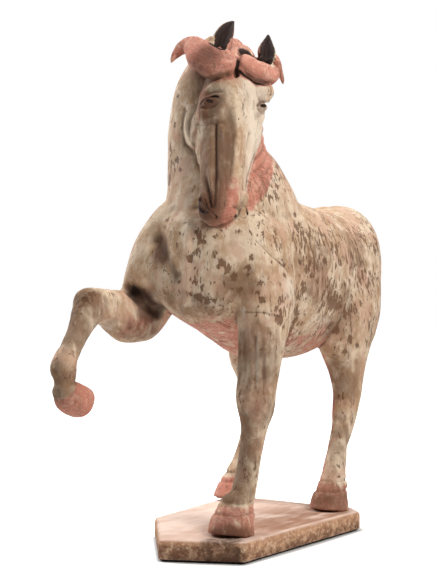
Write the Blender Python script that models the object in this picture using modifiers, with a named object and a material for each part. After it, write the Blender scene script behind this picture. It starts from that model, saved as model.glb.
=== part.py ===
"""A prancing pottery horse, moulded and hand finished in one piece, on its flat clay slab.

Metres, +Z up. The horse faces -Y and its left side is +X. The origin is on the underside of the
slab, below the middle of the horse. Places on the horse are given in parts: a whole horse, from
the slab to the tip of its right ear, is 555 parts tall, and heights count from the slab's top.
"""

import math

import bmesh
import bpy
import numpy as np

# Driving sizes, in metres
HORSE_HEIGHT = 0.555
SLAB_THICKNESS = 0.022
SLAB_ROUNDING = 0.002
SLAB_LEFT_MARGIN = 0.036
SLAB_BACK_MARGIN = 0.027
SLAB_RIGHT_MARGIN = 0.019
SLAB_FRONT_MARGIN = 0.031
SLAB_FRONT_LENGTH = 0.081
SLAB_FRONT_SKEW = 0.036
SLAB_RIGHT_LENGTH = 0.184
SLAB_RIGHT_SKEW = 0.017
SLAB_CHIP = 0.021
SEAT_GAP = 0.0003

# Shares of the horse's height
PARTS_TALL = 555.0
PART = HORSE_HEIGHT / PARTS_TALL
CLAY_VOXEL = 2.1
BODY_ROUNDS = 36
SOLID_TRIANGLES = 9600

# The mane on the left of the neck: heights, thickness, and how far round from the left it reaches
MANE_TOP = 522.0
MANE_TIP = 338.0
MANE_THICKNESS = 6.0
MANE_REAR_TOP = -105.0
MANE_REAR_TIP = 35.0
MANE_REAR_POWER = 1.12
MANE_FORE_TOP = -20.0
MANE_FORE_TIP = 42.0
MANE_FORE_POWER = 0.6

# Pose of the head: turned to the horse's left, tucked in, and leaning a little
HEAD_PLACE = (38.0, -72.0, 474.5)
HEAD_TURN = math.radians(42)
HEAD_TUCK = math.radians(16)
HEAD_LEAN = math.radians(9)

# Where the hooves stand: x and y of the middle of each
LEFT_FORE = (54.0, -107.0)
LEFT_HIND = (60.0, 94.0)
RIGHT_HIND = (-76.0, 92.0)

# Stations of each form: x, y, z, half width, reach to the front or top, reach to the back or below
TRUNK = [
    (2, -117, 282, 12, 12, 12),
    (2, -113, 282, 36, 34, 36),
    (1, -102, 282, 56, 53, 52),
    (0, -78, 283, 70, 68, 66),
    (-1, -40, 284, 75, 84, 80),
    (0, 0, 282, 77, 90, 94),
    (0, 40, 278, 80, 88, 102),
    (0, 80, 276, 81, 84, 100),
    (-2, 120, 276, 78, 80, 91),
    (-3, 155, 280, 74, 74, 84),
    (-4, 185, 284, 72, 74, 76),
    (-4, 203, 286, 71, 78, 68),
    (-4, 220, 286, 67, 80, 62),
    (-4, 238, 286, 57, 70, 54),
    (-4, 250, 286, 38, 50, 40),
    (-4, 256, 286, 10, 14, 12),
]
NECK = [
    (-3, 4, 290, 52, 80, 84),
    (-5, -6, 318, 67, 90, 84),
    (-8, -15, 345, 72, 86, 78),
    (-11, -21, 370, 66, 73, 67),
    (-18, -26, 400, 56, 58, 55),
    (-20, -31, 432, 50, 51, 48),
    (-18, -31, 462, 47, 48, 46),
    (-13, -31, 488, 42, 42, 42),
    (-7, -33, 508, 33, 33, 33),
    (-1, -36, 524, 21, 21, 21),
    (3, -38, 534, 7, 7, 7),
]
# Head stations run down the face: middle, distance behind the face line, distance down, half width,
# reach to the face, reach to the jaw
HEAD = [
    (2, -50, -74, 5, 4, 5),
    (2, -50, -69, 15, 12, 14),
    (2, -47, -58, 22, 20, 24),
    (1, -44, -42, 28, 31, 33),
    (0, -41, -24, 33, 38, 38),
    (0, -39, -8, 35, 42, 40),
    (0, -38, 10, 36.5, 43, 40),
    (0, -38, 28, 36.5, 43, 41),
    (0, -37, 44, 35, 41, 39),
    (0, -33, 60, 32, 36.5, 33),
    (0, -28, 75, 28.5, 31, 27),
    (0, -25, 90, 26, 27.5, 22),
    (0, -23, 105, 24.5, 25.5, 19),
    (0, -22, 120, 24, 24.5, 18),
    (-1.5, -21, 132, 22.5, 23.5, 17),
    (-4, -21, 141, 19.5, 21.5, 15.5),
    (-5, -21, 148, 16, 17, 12),
    (-5, -22, 152.5, 10.5, 10, 7),
    (-5, -22, 155, 4, 4, 3),
]
# Legs that stand: x and y count from the middle of the hoof
LEFT_FORELEG = [
    (0, 0, 0, 23.5, 26, 21),
    (0, 1, 7, 23, 24.5, 20.5),
    (0, 4, 15, 21, 22, 19.5),
    (0.5, 8, 21, 19, 19.5, 18),
    (0.5, 10, 27, 19.5, 20, 18),
    (0.5, 13, 31, 15.5, 15.5, 15),
    (1, 19, 36, 12.8, 13, 13),
    (1, 24, 48, 12.2, 12.5, 12.5),
    (1, 28, 59, 12, 12, 12.5),
    (2, 32, 77, 11.6, 12, 12),
    (3, 36, 96, 12.2, 12.6, 13),
    (3, 40, 112, 14.5, 14.5, 15),
    (4, 41, 125, 18.5, 19, 18),
    (4, 41, 140, 20.5, 21.5, 20),
    (5, 42, 155, 20.5, 21, 21),
    (6, 44, 175, 21.5, 22.5, 24),
    (7, 46, 195, 23, 24, 28),
    (7, 49, 215, 25, 27, 34),
    (6, 53, 238, 27, 33, 42),
    (1, 57, 264, 30, 42, 50),
    (-7, 57, 294, 32, 46, 52),
    (-16, 59, 324, 28, 40, 46),
    (-24, 61, 350, 16, 24, 28),
]
# The raised leg
RAISED_UPPER_ARM = [
    (-76, -92, 216, 16, 18, 20),
    (-74, -90, 236, 23, 27, 31),
    (-68, -82, 266, 28, 34, 44),
    (-57, -70, 298, 31, 40, 50),
    (-45, -57, 326, 28, 40, 46),
    (-33, -48, 350, 16, 26, 28),
]
RAISED_FOREARM = [
    (-85, -186, 241, 8, 8, 8),
    (-85, -183, 241, 14, 14, 15),
    (-84.5, -174, 241, 17.5, 17, 19),
    (-84, -160, 240, 18, 17.5, 20),
    (-83, -145, 237, 18, 19.5, 21),
    (-81, -128, 232, 19, 25, 27),
    (-79, -110, 228, 21, 30, 31),
    (-77, -92, 228, 22, 33, 30),
    (-72, -74, 234, 20, 29, 22),
    (-64, -58, 242, 12, 16, 12),
]
RAISED_CANNON = [
    (-75, -217, 143, 6, 6, 6),
    (-75, -219, 146, 12, 12, 12),
    (-75, -221, 152, 13, 12.5, 12.5),
    (-75.5, -221, 158, 10.2, 10.2, 10.2),
    (-75.5, -221, 164, 11, 11.5, 11.5),
    (-76, -222, 173, 12.8, 13.8, 13),
    (-76.5, -219, 181, 11.8, 12.6, 12.2),
    (-77.5, -210, 192, 10.2, 10.8, 10.8),
    (-79, -199, 205, 10.5, 11, 11.5),
    (-81, -188, 218, 12.5, 13, 13.5),
    (-83, -177, 231, 15.5, 15.5, 16),
    (-84, -170, 241, 15, 14, 15),
    (-84, -166, 248, 8, 8, 8),
]
RAISED_HOOF = [
    (-73, -193, 135.5, 5, 5, 5),
    (-73, -194, 136, 14.5, 15.5, 14.5),
    (-73.5, -198, 138, 17, 17.5, 16.5),
    (-74, -206, 141, 17.5, 17.5, 17),
    (-74.5, -214, 145, 17, 17, 16.5),
    (-75, -220, 149, 13.5, 13.5, 13.5),
    (-75, -223, 152, 7, 7, 7),
]
# The hind legs stand too
LEFT_HINDLEG = [
    (0, -2, 0, 22, 26, 21),
    (0, -1, 8, 21, 24, 20),
    (0, 2, 18, 18.5, 20.5, 18),
    (0, 5, 25, 16.5, 17.5, 16.5),
    (0, 6, 30, 16.8, 17.8, 16.5),
    (0, 8, 37, 13.8, 14, 14.2),
    (0, 9, 44, 12.6, 13.5, 13.5),
    (0, 14, 57, 11.5, 13, 12.5),
    (-1, 21, 74, 10.2, 13, 11.5),
    (-1, 30, 89, 11.2, 15, 12),
    (-2, 39, 107, 13.2, 19, 15.5),
    (-2, 44, 132, 15.2, 19, 21.5),
    (-3, 45, 154, 17.5, 23, 28),
    (-5, 45, 174, 21, 33, 39),
    (-7, 46, 192, 25, 45, 49),
    (-11, 51, 218, 31, 56, 62),
    (-17, 60, 248, 34, 62, 75),
    (-24, 71, 283, 35, 62, 79),
    (-32, 81, 313, 31, 52, 70),
    (-38, 86, 336, 18, 32, 44),
]
RIGHT_HINDLEG = [
    (0, 0, 0, 22, 26, 21),
    (0, 2, 8, 20.5, 23, 20),
    (1, 5, 18, 18, 19.5, 18),
    (2, 8, 25, 16, 16.5, 16.5),
    (3, 10, 30, 16.3, 16.8, 16.5),
    (4, 12, 37, 13.4, 13.6, 14.2),
    (5, 15, 44, 12.2, 13, 13.5),
    (6, 21, 57, 11.2, 12.5, 12.5),
    (7, 27, 74, 10, 12.5, 11.5),
    (7, 33, 89, 11, 14.5, 12),
    (7, 38, 107, 13, 18.5, 15.5),
    (7, 40, 132, 15, 19, 21.5),
    (6, 36, 154, 17.5, 24, 28),
    (7, 32, 174, 22, 35, 40),
    (10, 34, 192, 26, 45, 48),
    (16, 42, 218, 31, 56, 60),
    (24, 56, 248, 34, 60, 74),
    (32, 71, 283, 35, 62, 77),
    (40, 83, 313, 31, 52, 68),
    (47, 88, 336, 18, 32, 44),
]
TAIL = [
    (-4, 236, 326, 8, 8, 8),
    (-4, 247, 328, 14, 13, 13),
    (-4, 257, 320, 13, 12, 12),
    (-4, 264, 304, 12, 10, 10),
    (-4, 266, 288, 10.5, 9, 9),
    (-4, 266, 284, 8.5, 7.5, 7.5),
    (-4, 267, 274, 11, 9, 9),
    (-4, 266, 260, 8, 6.5, 6.5),
    (-4, 263, 248, 3, 3, 3),
]

# Forelock locks in the head's own directions: toward its left, out of its face, down its length
RIGHT_LOCK = [
    (-4, -6, -31, 8, 2.5, 8),
    (-5, -6, -30.5, 14, 5.5, 12),
    (-9, -5, -29, 17.5, 7, 14),
    (-17, -4.5, -27, 20.5, 7.5, 14),
    (-27, -6, -27, 22, 7.5, 14),
    (-37, -12, -33, 20.5, 7.5, 13),
    (-45.5, -23, -45.5, 14.5, 6.5, 9),
    (-53, -34, -55, 10.5, 6, 6),
    (-60, -39, -52, 8, 5.5, 5.5),
    (-65.5, -41, -45, 5, 4.2, 4.2),
    (-68.5, -41.5, -38.5, 2.8, 2.6, 2.6),
    (-70, -41.5, -33, 1.2, 1.2, 1.2),
]
LEFT_LOCK = [
    (-0.5, -6, -35, 8, 3, 8),
    (1, -6, -34, 14, 6, 12),
    (5.5, -5, -28.5, 14.5, 8.5, 14),
    (13, -4, -23.5, 12.5, 9.5, 14),
    (23, -4.5, -21, 11.8, 9.5, 14),
    (31, -10, -23.5, 12, 9, 13),
    (37, -19, -30, 11.5, 8, 10),
    (40, -28, -39.5, 8.5, 6, 7),
    (41, -35, -48, 4, 4, 4),
]
LEFT_FLICK = [
    (24, -44, -50, 6, 5, 6),
    (34, -42, -60, 5.5, 4.5, 5.5),
    (42, -41, -63, 5, 4, 5),
    (47.5, -41, -57, 5, 4, 4.5),
    (51.5, -42, -48, 4, 3.2, 3.5),
    (55.5, -42, -39, 2.6, 2.4, 2.6),
    (57.5, -42, -32, 1.2, 1.2, 1.2),
]
RIGHT_EAR = [
    (-23, -16, -40, 6, 5, 6),
    (-22, -15, -47, 9.5, 8, 9),
    (-20.5, -17, -56, 11, 9, 9),
    (-18, -20, -66, 10.5, 8.5, 8.5),
    (-14.5, -24.5, -77, 8, 7, 7),
    (-11, -29, -86, 4.5, 4.5, 4.5),
    (-8, -32, -93, 1.4, 1.4, 1.4),
]
LEFT_EAR = [
    (31, -22, -36, 6, 5, 6),
    (31, -19, -43, 9.5, 8, 8),
    (31.5, -21, -51, 10.8, 8.5, 8.5),
    (31.5, -24, -60, 9.8, 8, 8),
    (32, -28, -70, 6.8, 6, 6),
    (32.7, -31.5, -79, 3.6, 3.6, 3.6),
    (33.3, -34, -86, 1.2, 1.2, 1.2),
]
# The hollow in the front of each ear: its share of the ear's width and of its reach to the front
EAR_CUP_WIDTH = 0.84
EAR_CUP_DEPTH = 1.2

# Rounded masses: middle, then reach toward the side, the front and down
HEAD_MASSES = [
    ((-31, -53, 34), (10, 28, 31)),
    ((31, -53, 34), (10, 28, 31)),
    ((-24, -25, 24), (13, 17, 20)),
    ((26, -26, 18), (12, 16, 19)),
    ((-26, -12, 22), (8, 7, 6)),
    ((32, -16, 14), (6.5, 7, 5.5)),
    ((30, -17, -6), (14, 12.5, 13)),
    ((-20.5, -10, 131.5), (5.5, 6, 7)),
    ((22, -13, 124), (6.5, 9, 9)),
    ((-4, -29, 143), (12, 9, 8)),
    ((-3, -46, -62), (14, 15, 16)),
    ((-27, -46, -60), (12, 14, 16)),
]

# Tool marks on the front of the head: a path, half width, depth; a negative depth raises a ridge. A
# mark reaches from its path to the surface, so a distance toward the front counts for less
MARK_FRONT_SHARE = 0.3
HEAD_MARKS = [
    ([(-18, -4, 49), (-15, -4, 76), (-12, -4, 104), (-9.5, -5, 141)], 2.1, 4.0),
    ([(-33, -12, 66), (-27, -9, 87), (-21.5, -6, 107), (-15, -6, 130), (-13, -6, 142)], 2.3, 3.6),
    ([(-28, -8, 57), (-23, -6, 77), (-17, -5, 105), (-11.5, -5, 138)], 1.7, -1.6),
    ([(-10, -1, 53), (-6.5, -1, 76), (-4.5, -1, 95)], 1.8, -1.2),
    ([(-4, 1, 8), (2, 1, 30), (6, -1, 52), (7.5, -1, 75), (8.5, -1, 98), (10, -1, 122)], 6.0, -2.4),
    ([(14, -3, 56), (15, -6, 88), (16, -7, 114), (15, -8, 128)], 2.2, -1.8),
    ([(21, -10, 50), (20, -8, 89), (20, -9, 112)], 2.8, 2.2),
    ([(-34, -25, 42), (-28, -17, 46), (-20, -8, 47), (-11, -1, 46)], 2.2, 1.4),
    ([(-37, -16, 11), (-30.5, -9, 4.5), (-22, -5, -0.5), (-15, -2, -5)], 3.0, -3.2),
    ([(-38, -18, 17), (-33, -12, 11.5), (-24, -7, 9.5), (-16, -4, 10.5)], 2.4, 2.4),
    ([(-35, -14, 23), (-31.5, -10, 17.5), (-26.5, -7, 15), (-21, -6, 16), (-16.5, -5, 19.5)], 1.3, 1.7),
    ([(-33.5, -13, 27), (-28, -9, 29.5), (-22.5, -7, 28), (-17.5, -5, 23)], 1.3, 1.3),
    ([(26.5, -8, 15), (29, -9, 10.5), (34, -12, 7), (40, -19, 7)], 1.4, 1.8),
    ([(27.5, -9, 19), (31.5, -11, 22), (36, -15, 20), (38.5, -19, 15)], 1.3, 1.3),
    ([(-24.5, -9, 136.5), (-21.7, -9, 141), (-18.5, -9, 145)], 1.9, 4.4),
    ([(14, -7, 137), (19, -9, 136), (25, -11, 135), (28, -13, 140)], 2.2, 3.0),
    ([(-23, -15, 142), (-17, -13, 148.5), (-10, -12, 151.5), (-2, -12, 152), (6, -13, 150)], 1.4, 1.7),
    ([(-1, 3, -46), (-2, 3, -30), (-2.5, 2, -20), (-2, 0, -11)], 2.3, 6.0),
    ([(-44, -18, -14), (-35, -8, -5), (-28, -3, -3), (-18, -2, -5), (-9, -1, -11)], 2.2, 2.6),
    ([(1, -1, -20), (9, -2, -14), (20, -3, -10), (31, -7, -10), (38, -15, -15)], 2.3, 3.6),
    ([(-35, -9, -50), (-29, -6, -43.5), (-22, -5, -39.5), (-16, -6, -42)], 1.7, 2.4),
    ([(18, -9, -44), (27, -9, -40), (36, -13, -41), (41, -20, -46)], 1.7, 2.4),
    ([(4, -10, -48), (12, -11, -49), (17, -13, -49)], 4.6, 9.0),
]
# Marks on the body, the same way as the head's, in the horse's own directions
BODY_MARKS = [
    ([(0, -111, 330), (4, -116, 297), (4, -117, 270), (-1, -112, 244), (-14, -96, 227)], 4.0, -2.6),
    ([(-26, -77, 452), (-29, -79, 436), (-26, -81, 418), (-15, -84, 405), (-1, -91, 389)], 3.2, 3.4),
    ([(-21, -78, 453), (-23, -80, 437), (-19, -82, 423), (-9, -85, 410), (4, -93, 392)], 2.4, -1.8),
    ([(-44, -106, 311), (-32, -108, 296), (-23, -109, 285), (-15, -110, 272)], 12.0, 9.5),
    ([(-80, -118, 259), (-68, -119, 254), (-60, -115, 247), (-54, -104, 236), (-53, -88, 231)], 6.0, 11.0),
    ([(-52, -93, 232), (-38, -80, 226), (-9, -84, 221), (15, -80, 220), (21, -60, 213)], 1.8, 2.0),
    ([(69, -83, 306), (79, -67, 290), (83, -39, 275)], 1.8, 1.4),
    ([(57, -85, 231), (78, -79, 230), (86, -59, 226)], 2.2, 1.4),
    ([(53, -84, 210), (54, -84, 180), (55, -86, 158)], 2.6, 0.9),
    ([(68, -84, 205), (68, -84, 181), (69, -84, 152)], 2.4, 1.0),
    ([(80, -77, 214), (79, -76, 186)], 2.4, 0.9),
    ([(76, -14, 325), (86, -34, 285), (88, -44, 250)], 6.0, 1.8),
    ([(-4, 120, 361), (-4, 165, 359), (-4, 215, 368), (-4, 240, 356)], 5.0, 2.2),
]
# Standing hooves: the rope-like coronet lies between two cuts, at these heights
CORONET_CUTS = (22.5, 33.5)
CORONET_WIDTH = 1.8
CORONET_DEPTH = 1.6
CORONET_REACH = 30.0
STROKE_PITCH = 9.0
STROKE_DEPTH = 1.3


def smooth_rows(rows, count):
    """Rows read off a monotone cubic through the stations, evenly spaced along their path."""
    rows = np.asarray(rows, float)
    gaps = np.linalg.norm(np.diff(rows[:, :3], axis=0), axis=1)
    at = np.concatenate([[0.0], np.cumsum(gaps)])
    rise = np.diff(rows, axis=0) / gaps[:, None]
    product = rise[:-1] * rise[1:]
    total = rise[:-1] + rise[1:]
    safe = np.where(product > 0, total, 1.0)
    slope = np.vstack([rise[:1], np.where(product > 0, 2 * product / safe, 0.0), rise[-1:]])
    wanted = np.linspace(0.0, at[-1], count)
    span = np.clip(np.searchsorted(at, wanted, side="right") - 1, 0, len(gaps) - 1)
    width = gaps[span][:, None]
    t = ((wanted - at[span]) / gaps[span])[:, None]
    return (
        (1 + 2 * t) * (1 - t) ** 2 * rows[span]
        + t * (1 - t) ** 2 * width * slope[span]
        + t * t * (3 - 2 * t) * rows[span + 1]
        + t * t * (t - 1) * width * slope[span + 1]
    )


def head_turning():
    """The turning matrix that carries the head's own directions to the horse's."""
    tuck, lean, turn = -HEAD_TUCK, HEAD_LEAN, HEAD_TURN
    about_x = np.array(
        [[1, 0, 0], [0, math.cos(tuck), -math.sin(tuck)], [0, math.sin(tuck), math.cos(tuck)]]
    )
    about_y = np.array(
        [[math.cos(lean), 0, math.sin(lean)], [0, 1, 0], [-math.sin(lean), 0, math.cos(lean)]]
    )
    about_z = np.array(
        [[math.cos(turn), -math.sin(turn), 0], [math.sin(turn), math.cos(turn), 0], [0, 0, 1]]
    )
    return about_z @ about_y @ about_x


HEAD_MATRIX = head_turning()


def on_head(points):
    """Places given toward the head's left, out of its face and down its length, as places on the horse."""
    own = np.asarray(points, float) * (1, -1, -1)
    return own @ HEAD_MATRIX.T + HEAD_PLACE


def on_head_stations(stations):
    stations = np.asarray(stations, float)
    return np.hstack([on_head(stations[:, :3]), stations[:, 3:]])


def square_to(along, hint):
    """The part of a direction that is square to each tangent, at unit length."""
    hint = np.asarray(hint, float)
    square = hint - (along @ hint)[:, None] * along
    return square / np.linalg.norm(square, axis=1)[:, None]


def tube(stations, side=(1, 0, 0), facing=None, rings=40, around=28, squareness=2.3, flat=1.0):
    """A closed skin through rounded sections square to the stations' path. At angle t a section
    reaches half width * cos(t) to the side and reach * sin(t) to the front or the back, each sine
    and cosine raised to 2 / squareness, and a share flat of the front reach cuts it off level. A
    band takes its facing, and its side follows from it."""
    rows = smooth_rows(stations, rings)
    path = rows[:, :3]
    along = np.gradient(path, axis=0)
    along /= np.linalg.norm(along, axis=1)[:, None]
    if facing is None:
        across = square_to(along, side)
        front = np.cross(across, along)
    else:
        front = square_to(along, facing)
        across = np.cross(along, front)
    angle = np.linspace(0, 2 * np.pi, around, endpoint=False)
    power = 2 / squareness
    cosine = np.sign(np.cos(angle)) * np.abs(np.cos(angle)) ** power
    sine = np.minimum(np.sign(np.sin(angle)) * np.abs(np.sin(angle)) ** power, flat)
    reach = np.where(sine > 0, rows[:, 4:5], rows[:, 5:6]) * sine
    points = (
        path[:, None]
        + across[:, None] * (rows[:, 3:4] * cosine)[..., None]
        + front[:, None] * reach[..., None]
    )
    return points.reshape(-1, 3), grid_faces(rings, around)


def grid_faces(rings, around):
    """Faces of a tube of rings, with both ends capped."""
    faces = [
        (r * around + k, r * around + (k + 1) % around,
         (r + 1) * around + (k + 1) % around, (r + 1) * around + k)
        for r in range(rings - 1)
        for k in range(around)
    ]
    faces.append(tuple(range(around))[::-1])
    faces.append(tuple((rings - 1) * around + k for k in range(around)))
    return faces


def ball(middle, reaches, rings=14, around=20):
    """A rounded mass on the head, closed at both poles by small caps."""
    polar = np.linspace(0.06, np.pi - 0.06, rings)[:, None]
    angle = np.linspace(0, 2 * np.pi, around, endpoint=False)[None]
    unit = np.stack(
        [np.sin(polar) * np.cos(angle), np.sin(polar) * np.sin(angle), np.cos(polar) + 0 * angle],
        axis=-1,
    )
    points = on_head(np.asarray(middle) + unit.reshape(-1, 3) * np.asarray(reaches))
    return points, grid_faces(rings, around)


def mane_patch(rings=30, across=14):
    """The mane: a thick skin laid on the left of the neck. Each ring follows the neck's section
    from the crest round to a front edge that moves forward as the mane comes down, and its
    thickness falls away to nothing at both edges."""
    rows = smooth_rows(NECK, 80)
    height = np.linspace(MANE_TOP, MANE_TIP, rings)
    rows = np.stack([np.interp(height, rows[:, 2], rows[:, k]) for k in range(6)], axis=1)
    share = np.linspace(0, 1, rings)[:, None]
    rear, fore = mane_angles(height[:, None])
    angle = rear + (fore - rear) * np.linspace(0, 1, across)[None]
    swell = np.sin(np.linspace(0, np.pi, across))[None] ** 0.45
    ends = np.clip(np.minimum(share, 1 - share) * 6, 0, 1) ** 0.6
    out = MANE_THICKNESS * swell * ends
    skins = []
    for offset in (out, -6.0 - 0 * out):
        wide = rows[:, 3:4] + offset
        deep = np.where(np.sin(angle) > 0, rows[:, 4:5], rows[:, 5:6]) + offset
        skins.append(
            np.stack(
                [
                    rows[:, 0:1] + wide * np.cos(angle),
                    rows[:, 1:2] - deep * np.sin(angle),
                    rows[:, 2:3] + 0 * angle,
                ],
                axis=-1,
            )
        )
    rings_closed = np.concatenate([skins[0], skins[1][:, ::-1]], axis=1)
    return rings_closed.reshape(-1, 3), grid_faces(rings, 2 * across)


def smooth_step(low, high, value):
    """0 below low, 1 above high, and an easy curve between."""
    t = np.clip((value - low) / (high - low), 0, 1)
    return t * t * (3 - 2 * t)


def distance_to_path(points, path):
    """Distance from each point to a polyline."""
    path = np.asarray(path, float)
    nearest = np.full(len(points), np.inf)
    for start, end in zip(path[:-1], path[1:]):
        run = end - start
        share = np.clip((points - start) @ run / (run @ run), 0, 1)
        gap = np.linalg.norm(points - start - share[:, None] * run, axis=1)
        nearest = np.minimum(nearest, gap)
    return nearest


def mark_depth(points, path, width, cut, front_share=1.0):
    """Depth of one mark at each point: a smooth curve through its path, deepest on the curve, and
    half as deep at 0.83 of its half width. Distances along y count by their share."""
    counted = (1, front_share, 1)
    curve = smooth_rows(np.asarray(path) * counted, 4 * len(path))
    places = points * counted
    reach = 3 * width
    near = np.all((places > curve.min(axis=0) - reach) & (places < curve.max(axis=0) + reach), axis=1)
    depth = np.zeros(len(points))
    depth[near] = cut * np.exp(-((distance_to_path(places[near], curve) / width) ** 2))
    return depth


def ear_place(points, stations):
    """For each point near an ear, its distance from the ear's middle line, seen from the front and
    as a share of the ear's half width there, and the ear's reach to the front, 0 away from it."""
    rows = smooth_rows(on_head_stations(stations[1:]), 30)
    nearest = np.full(len(points), np.inf)
    spread = np.full(len(points), np.inf)
    reach = np.zeros(len(points))
    for row in rows:
        offset = (points - row[:3]) @ HEAD_MATRIX
        gap = np.linalg.norm(offset, axis=1)
        nearer = gap < nearest
        nearest = np.where(nearer, gap, nearest)
        spread = np.where(nearer, np.hypot(offset[:, 0], offset[:, 2]) / row[3], spread)
        reach = np.where(nearer, row[4], reach)
    return spread, np.where(nearest < 1.2 * reach + 3, reach, 0.0)


def join_skins(name, skins):
    """One mesh object in metres that holds every skin, each with its faces outward."""
    points = np.concatenate([skin[0] for skin in skins]) * PART
    points[:, 2] += SLAB_THICKNESS + SEAT_GAP
    faces = []
    start = 0
    for skin_points, skin_faces in skins:
        faces += [tuple(start + k for k in face) for face in skin_faces]
        start += len(skin_points)
    mesh = bpy.data.meshes.new(name)
    mesh.from_pydata(points.tolist(), [], faces)
    cleaned = bmesh.new()
    cleaned.from_mesh(mesh)
    bmesh.ops.recalc_face_normals(cleaned, faces=cleaned.faces)
    cleaned.to_mesh(mesh)
    cleaned.free()
    return bpy.data.objects.new(name, mesh)


def settle(obj):
    """Turns the object's modifiers into its mesh."""
    bpy.context.view_layer.update()
    graph = bpy.context.evaluated_depsgraph_get()
    mesh = bpy.data.meshes.new_from_object(obj.evaluated_get(graph))
    obj.modifiers.clear()
    old = obj.data
    obj.data = mesh
    bpy.data.meshes.remove(old)


def mesh_arrays(mesh):
    """Vertex places in parts, and vertex normals."""
    points = np.empty(len(mesh.vertices) * 3, np.float32)
    mesh.vertices.foreach_get("co", points)
    normals = np.empty(len(mesh.vertices) * 3, np.float32)
    mesh.vertices.foreach_get("normal", normals)
    points = points.reshape(-1, 3).astype(float)
    points[:, 2] -= SLAB_THICKNESS + SEAT_GAP
    return points / PART, normals.reshape(-1, 3).astype(float)


def store_points(mesh, points):
    """Puts places in parts back into the mesh, in metres."""
    placed = points * PART
    placed[:, 2] += SLAB_THICKNESS + SEAT_GAP
    mesh.vertices.foreach_set("co", placed.astype(np.float32).ravel())
    mesh.update()


def forelock_bands():
    """The bands of hair over the brow, each with the way that it faces."""
    head_left = HEAD_MATRIX @ (1, 0, 0)
    brow = HEAD_MATRIX @ (0, -1, 0.35)
    return [
        (on_head_stations(RIGHT_LOCK), brow - 0.45 * head_left),
        (on_head_stations(LEFT_LOCK), brow + 0.45 * head_left),
        (on_head_stations(LEFT_FLICK), brow + 0.8 * head_left),
    ]


def horse_skins():
    """Every rounded form of the horse, overlapping its neighbours."""
    head_left = HEAD_MATRIX @ (1, 0, 0)
    skins = [
        tube(TRUNK, rings=70, around=48),
        tube(NECK, rings=50, around=40, squareness=2.15),
        tube(on_head_stations(HEAD), side=-head_left, rings=70, around=48, squareness=1.8, flat=0.9),
        tube(on_head_stations(RIGHT_EAR), side=head_left, around=20),
        tube(on_head_stations(LEFT_EAR), side=head_left, around=20),
        mane_patch(),
        tube(TAIL, rings=40, around=20),
    ]
    for stations, facing in forelock_bands():
        skins.append(tube(stations, facing=facing, around=24, squareness=3.0))
    for middle, reaches in HEAD_MASSES:
        skins.append(ball(middle, reaches))
    for stations in (RAISED_UPPER_ARM, RAISED_FOREARM, RAISED_CANNON, RAISED_HOOF):
        skins.append(tube(stations, rings=70))
    for stations, hoof in (
        (LEFT_FORELEG, LEFT_FORE), (LEFT_HINDLEG, LEFT_HIND), (RIGHT_HINDLEG, RIGHT_HIND)
    ):
        placed = np.asarray(stations, float) + (*hoof, 0, 0, 0, 0)
        skins.append(tube(placed, rings=70))
    return skins


def on_own_head(points):
    """Places on the horse as places toward the head's left, out of its face and down its length."""
    return (points - HEAD_PLACE) @ HEAD_MATRIX * (1, -1, -1)


def relax(points, edges, weight, rounds):
    """Draws each point toward the middle of its neighbours, by its weight."""
    starts = np.concatenate([edges[:, 0], edges[:, 1]])
    ends = np.concatenate([edges[:, 1], edges[:, 0]])
    count = np.bincount(starts, minlength=len(points))[:, None]
    for _ in range(rounds):
        total = np.stack(
            [np.bincount(starts, points[ends, axis], len(points)) for axis in range(3)], axis=1
        )
        points = points + 0.5 * weight[:, None] * (total / count - points)
    return points


def body_share(points):
    """1 on the barrel, chest, shoulders and haunches, 0 on the head, the upper neck and the legs."""
    own = on_own_head(points)
    head = (np.abs(own[:, 0]) < 34) & (own[:, 1] > -46) & (own[:, 2] < 164)
    height = points[:, 2]
    body = smooth_step(215, 255, height) * (1 - smooth_step(392, 425, height))
    return np.where(head, 0.0, body) * (1 - smooth_step(246, 254, points[:, 1]))


def mane_angles(height):
    """Rear and front edge of the mane at each height, as angles round the neck from its left."""
    share = np.clip((MANE_TOP - height) / (MANE_TOP - MANE_TIP), 0, 1)
    rear = MANE_REAR_TOP + (MANE_REAR_TIP - MANE_REAR_TOP) * share**MANE_REAR_POWER
    fore = MANE_FORE_TOP + (MANE_FORE_TIP - MANE_FORE_TOP) * share**MANE_FORE_POWER
    return np.radians(rear), np.radians(fore)


def clear_of_head(points):
    """Where a place lies behind the head or beside it. The half width follows the head down."""
    own = on_own_head(points)
    half = np.interp(own[:, 2], (44, 60, 75, 90, 105), (38, 34.5, 31, 28.5, 27))
    return (own[:, 1] < -46) | (np.abs(own[:, 0]) > half)


def mane_strokes(points):
    """Depth of the slanting comb strokes over the mane."""
    rows = smooth_rows(NECK, 80)
    middle = [np.interp(points[:, 2], rows[:, 2], rows[:, k]) for k in range(5)]
    side = (points[:, 0] - middle[0]) / middle[3]
    front = -(points[:, 1] - middle[1]) / middle[4]
    angle = np.arctan2(front, side)
    rear, fore = mane_angles(points[:, 2])
    inside = smooth_step(rear, rear + 0.15, angle) * (1 - smooth_step(fore - 0.12, fore, angle))
    inside *= (points[:, 2] > MANE_TIP) & (points[:, 2] < MANE_TOP) & (np.hypot(side, front) < 1.35)
    inside *= clear_of_head(points)
    wave = np.sin((points[:, 2] + 38 * angle) * 2 * np.pi / STROKE_PITCH)
    return STROKE_DEPTH * inside * wave


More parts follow.
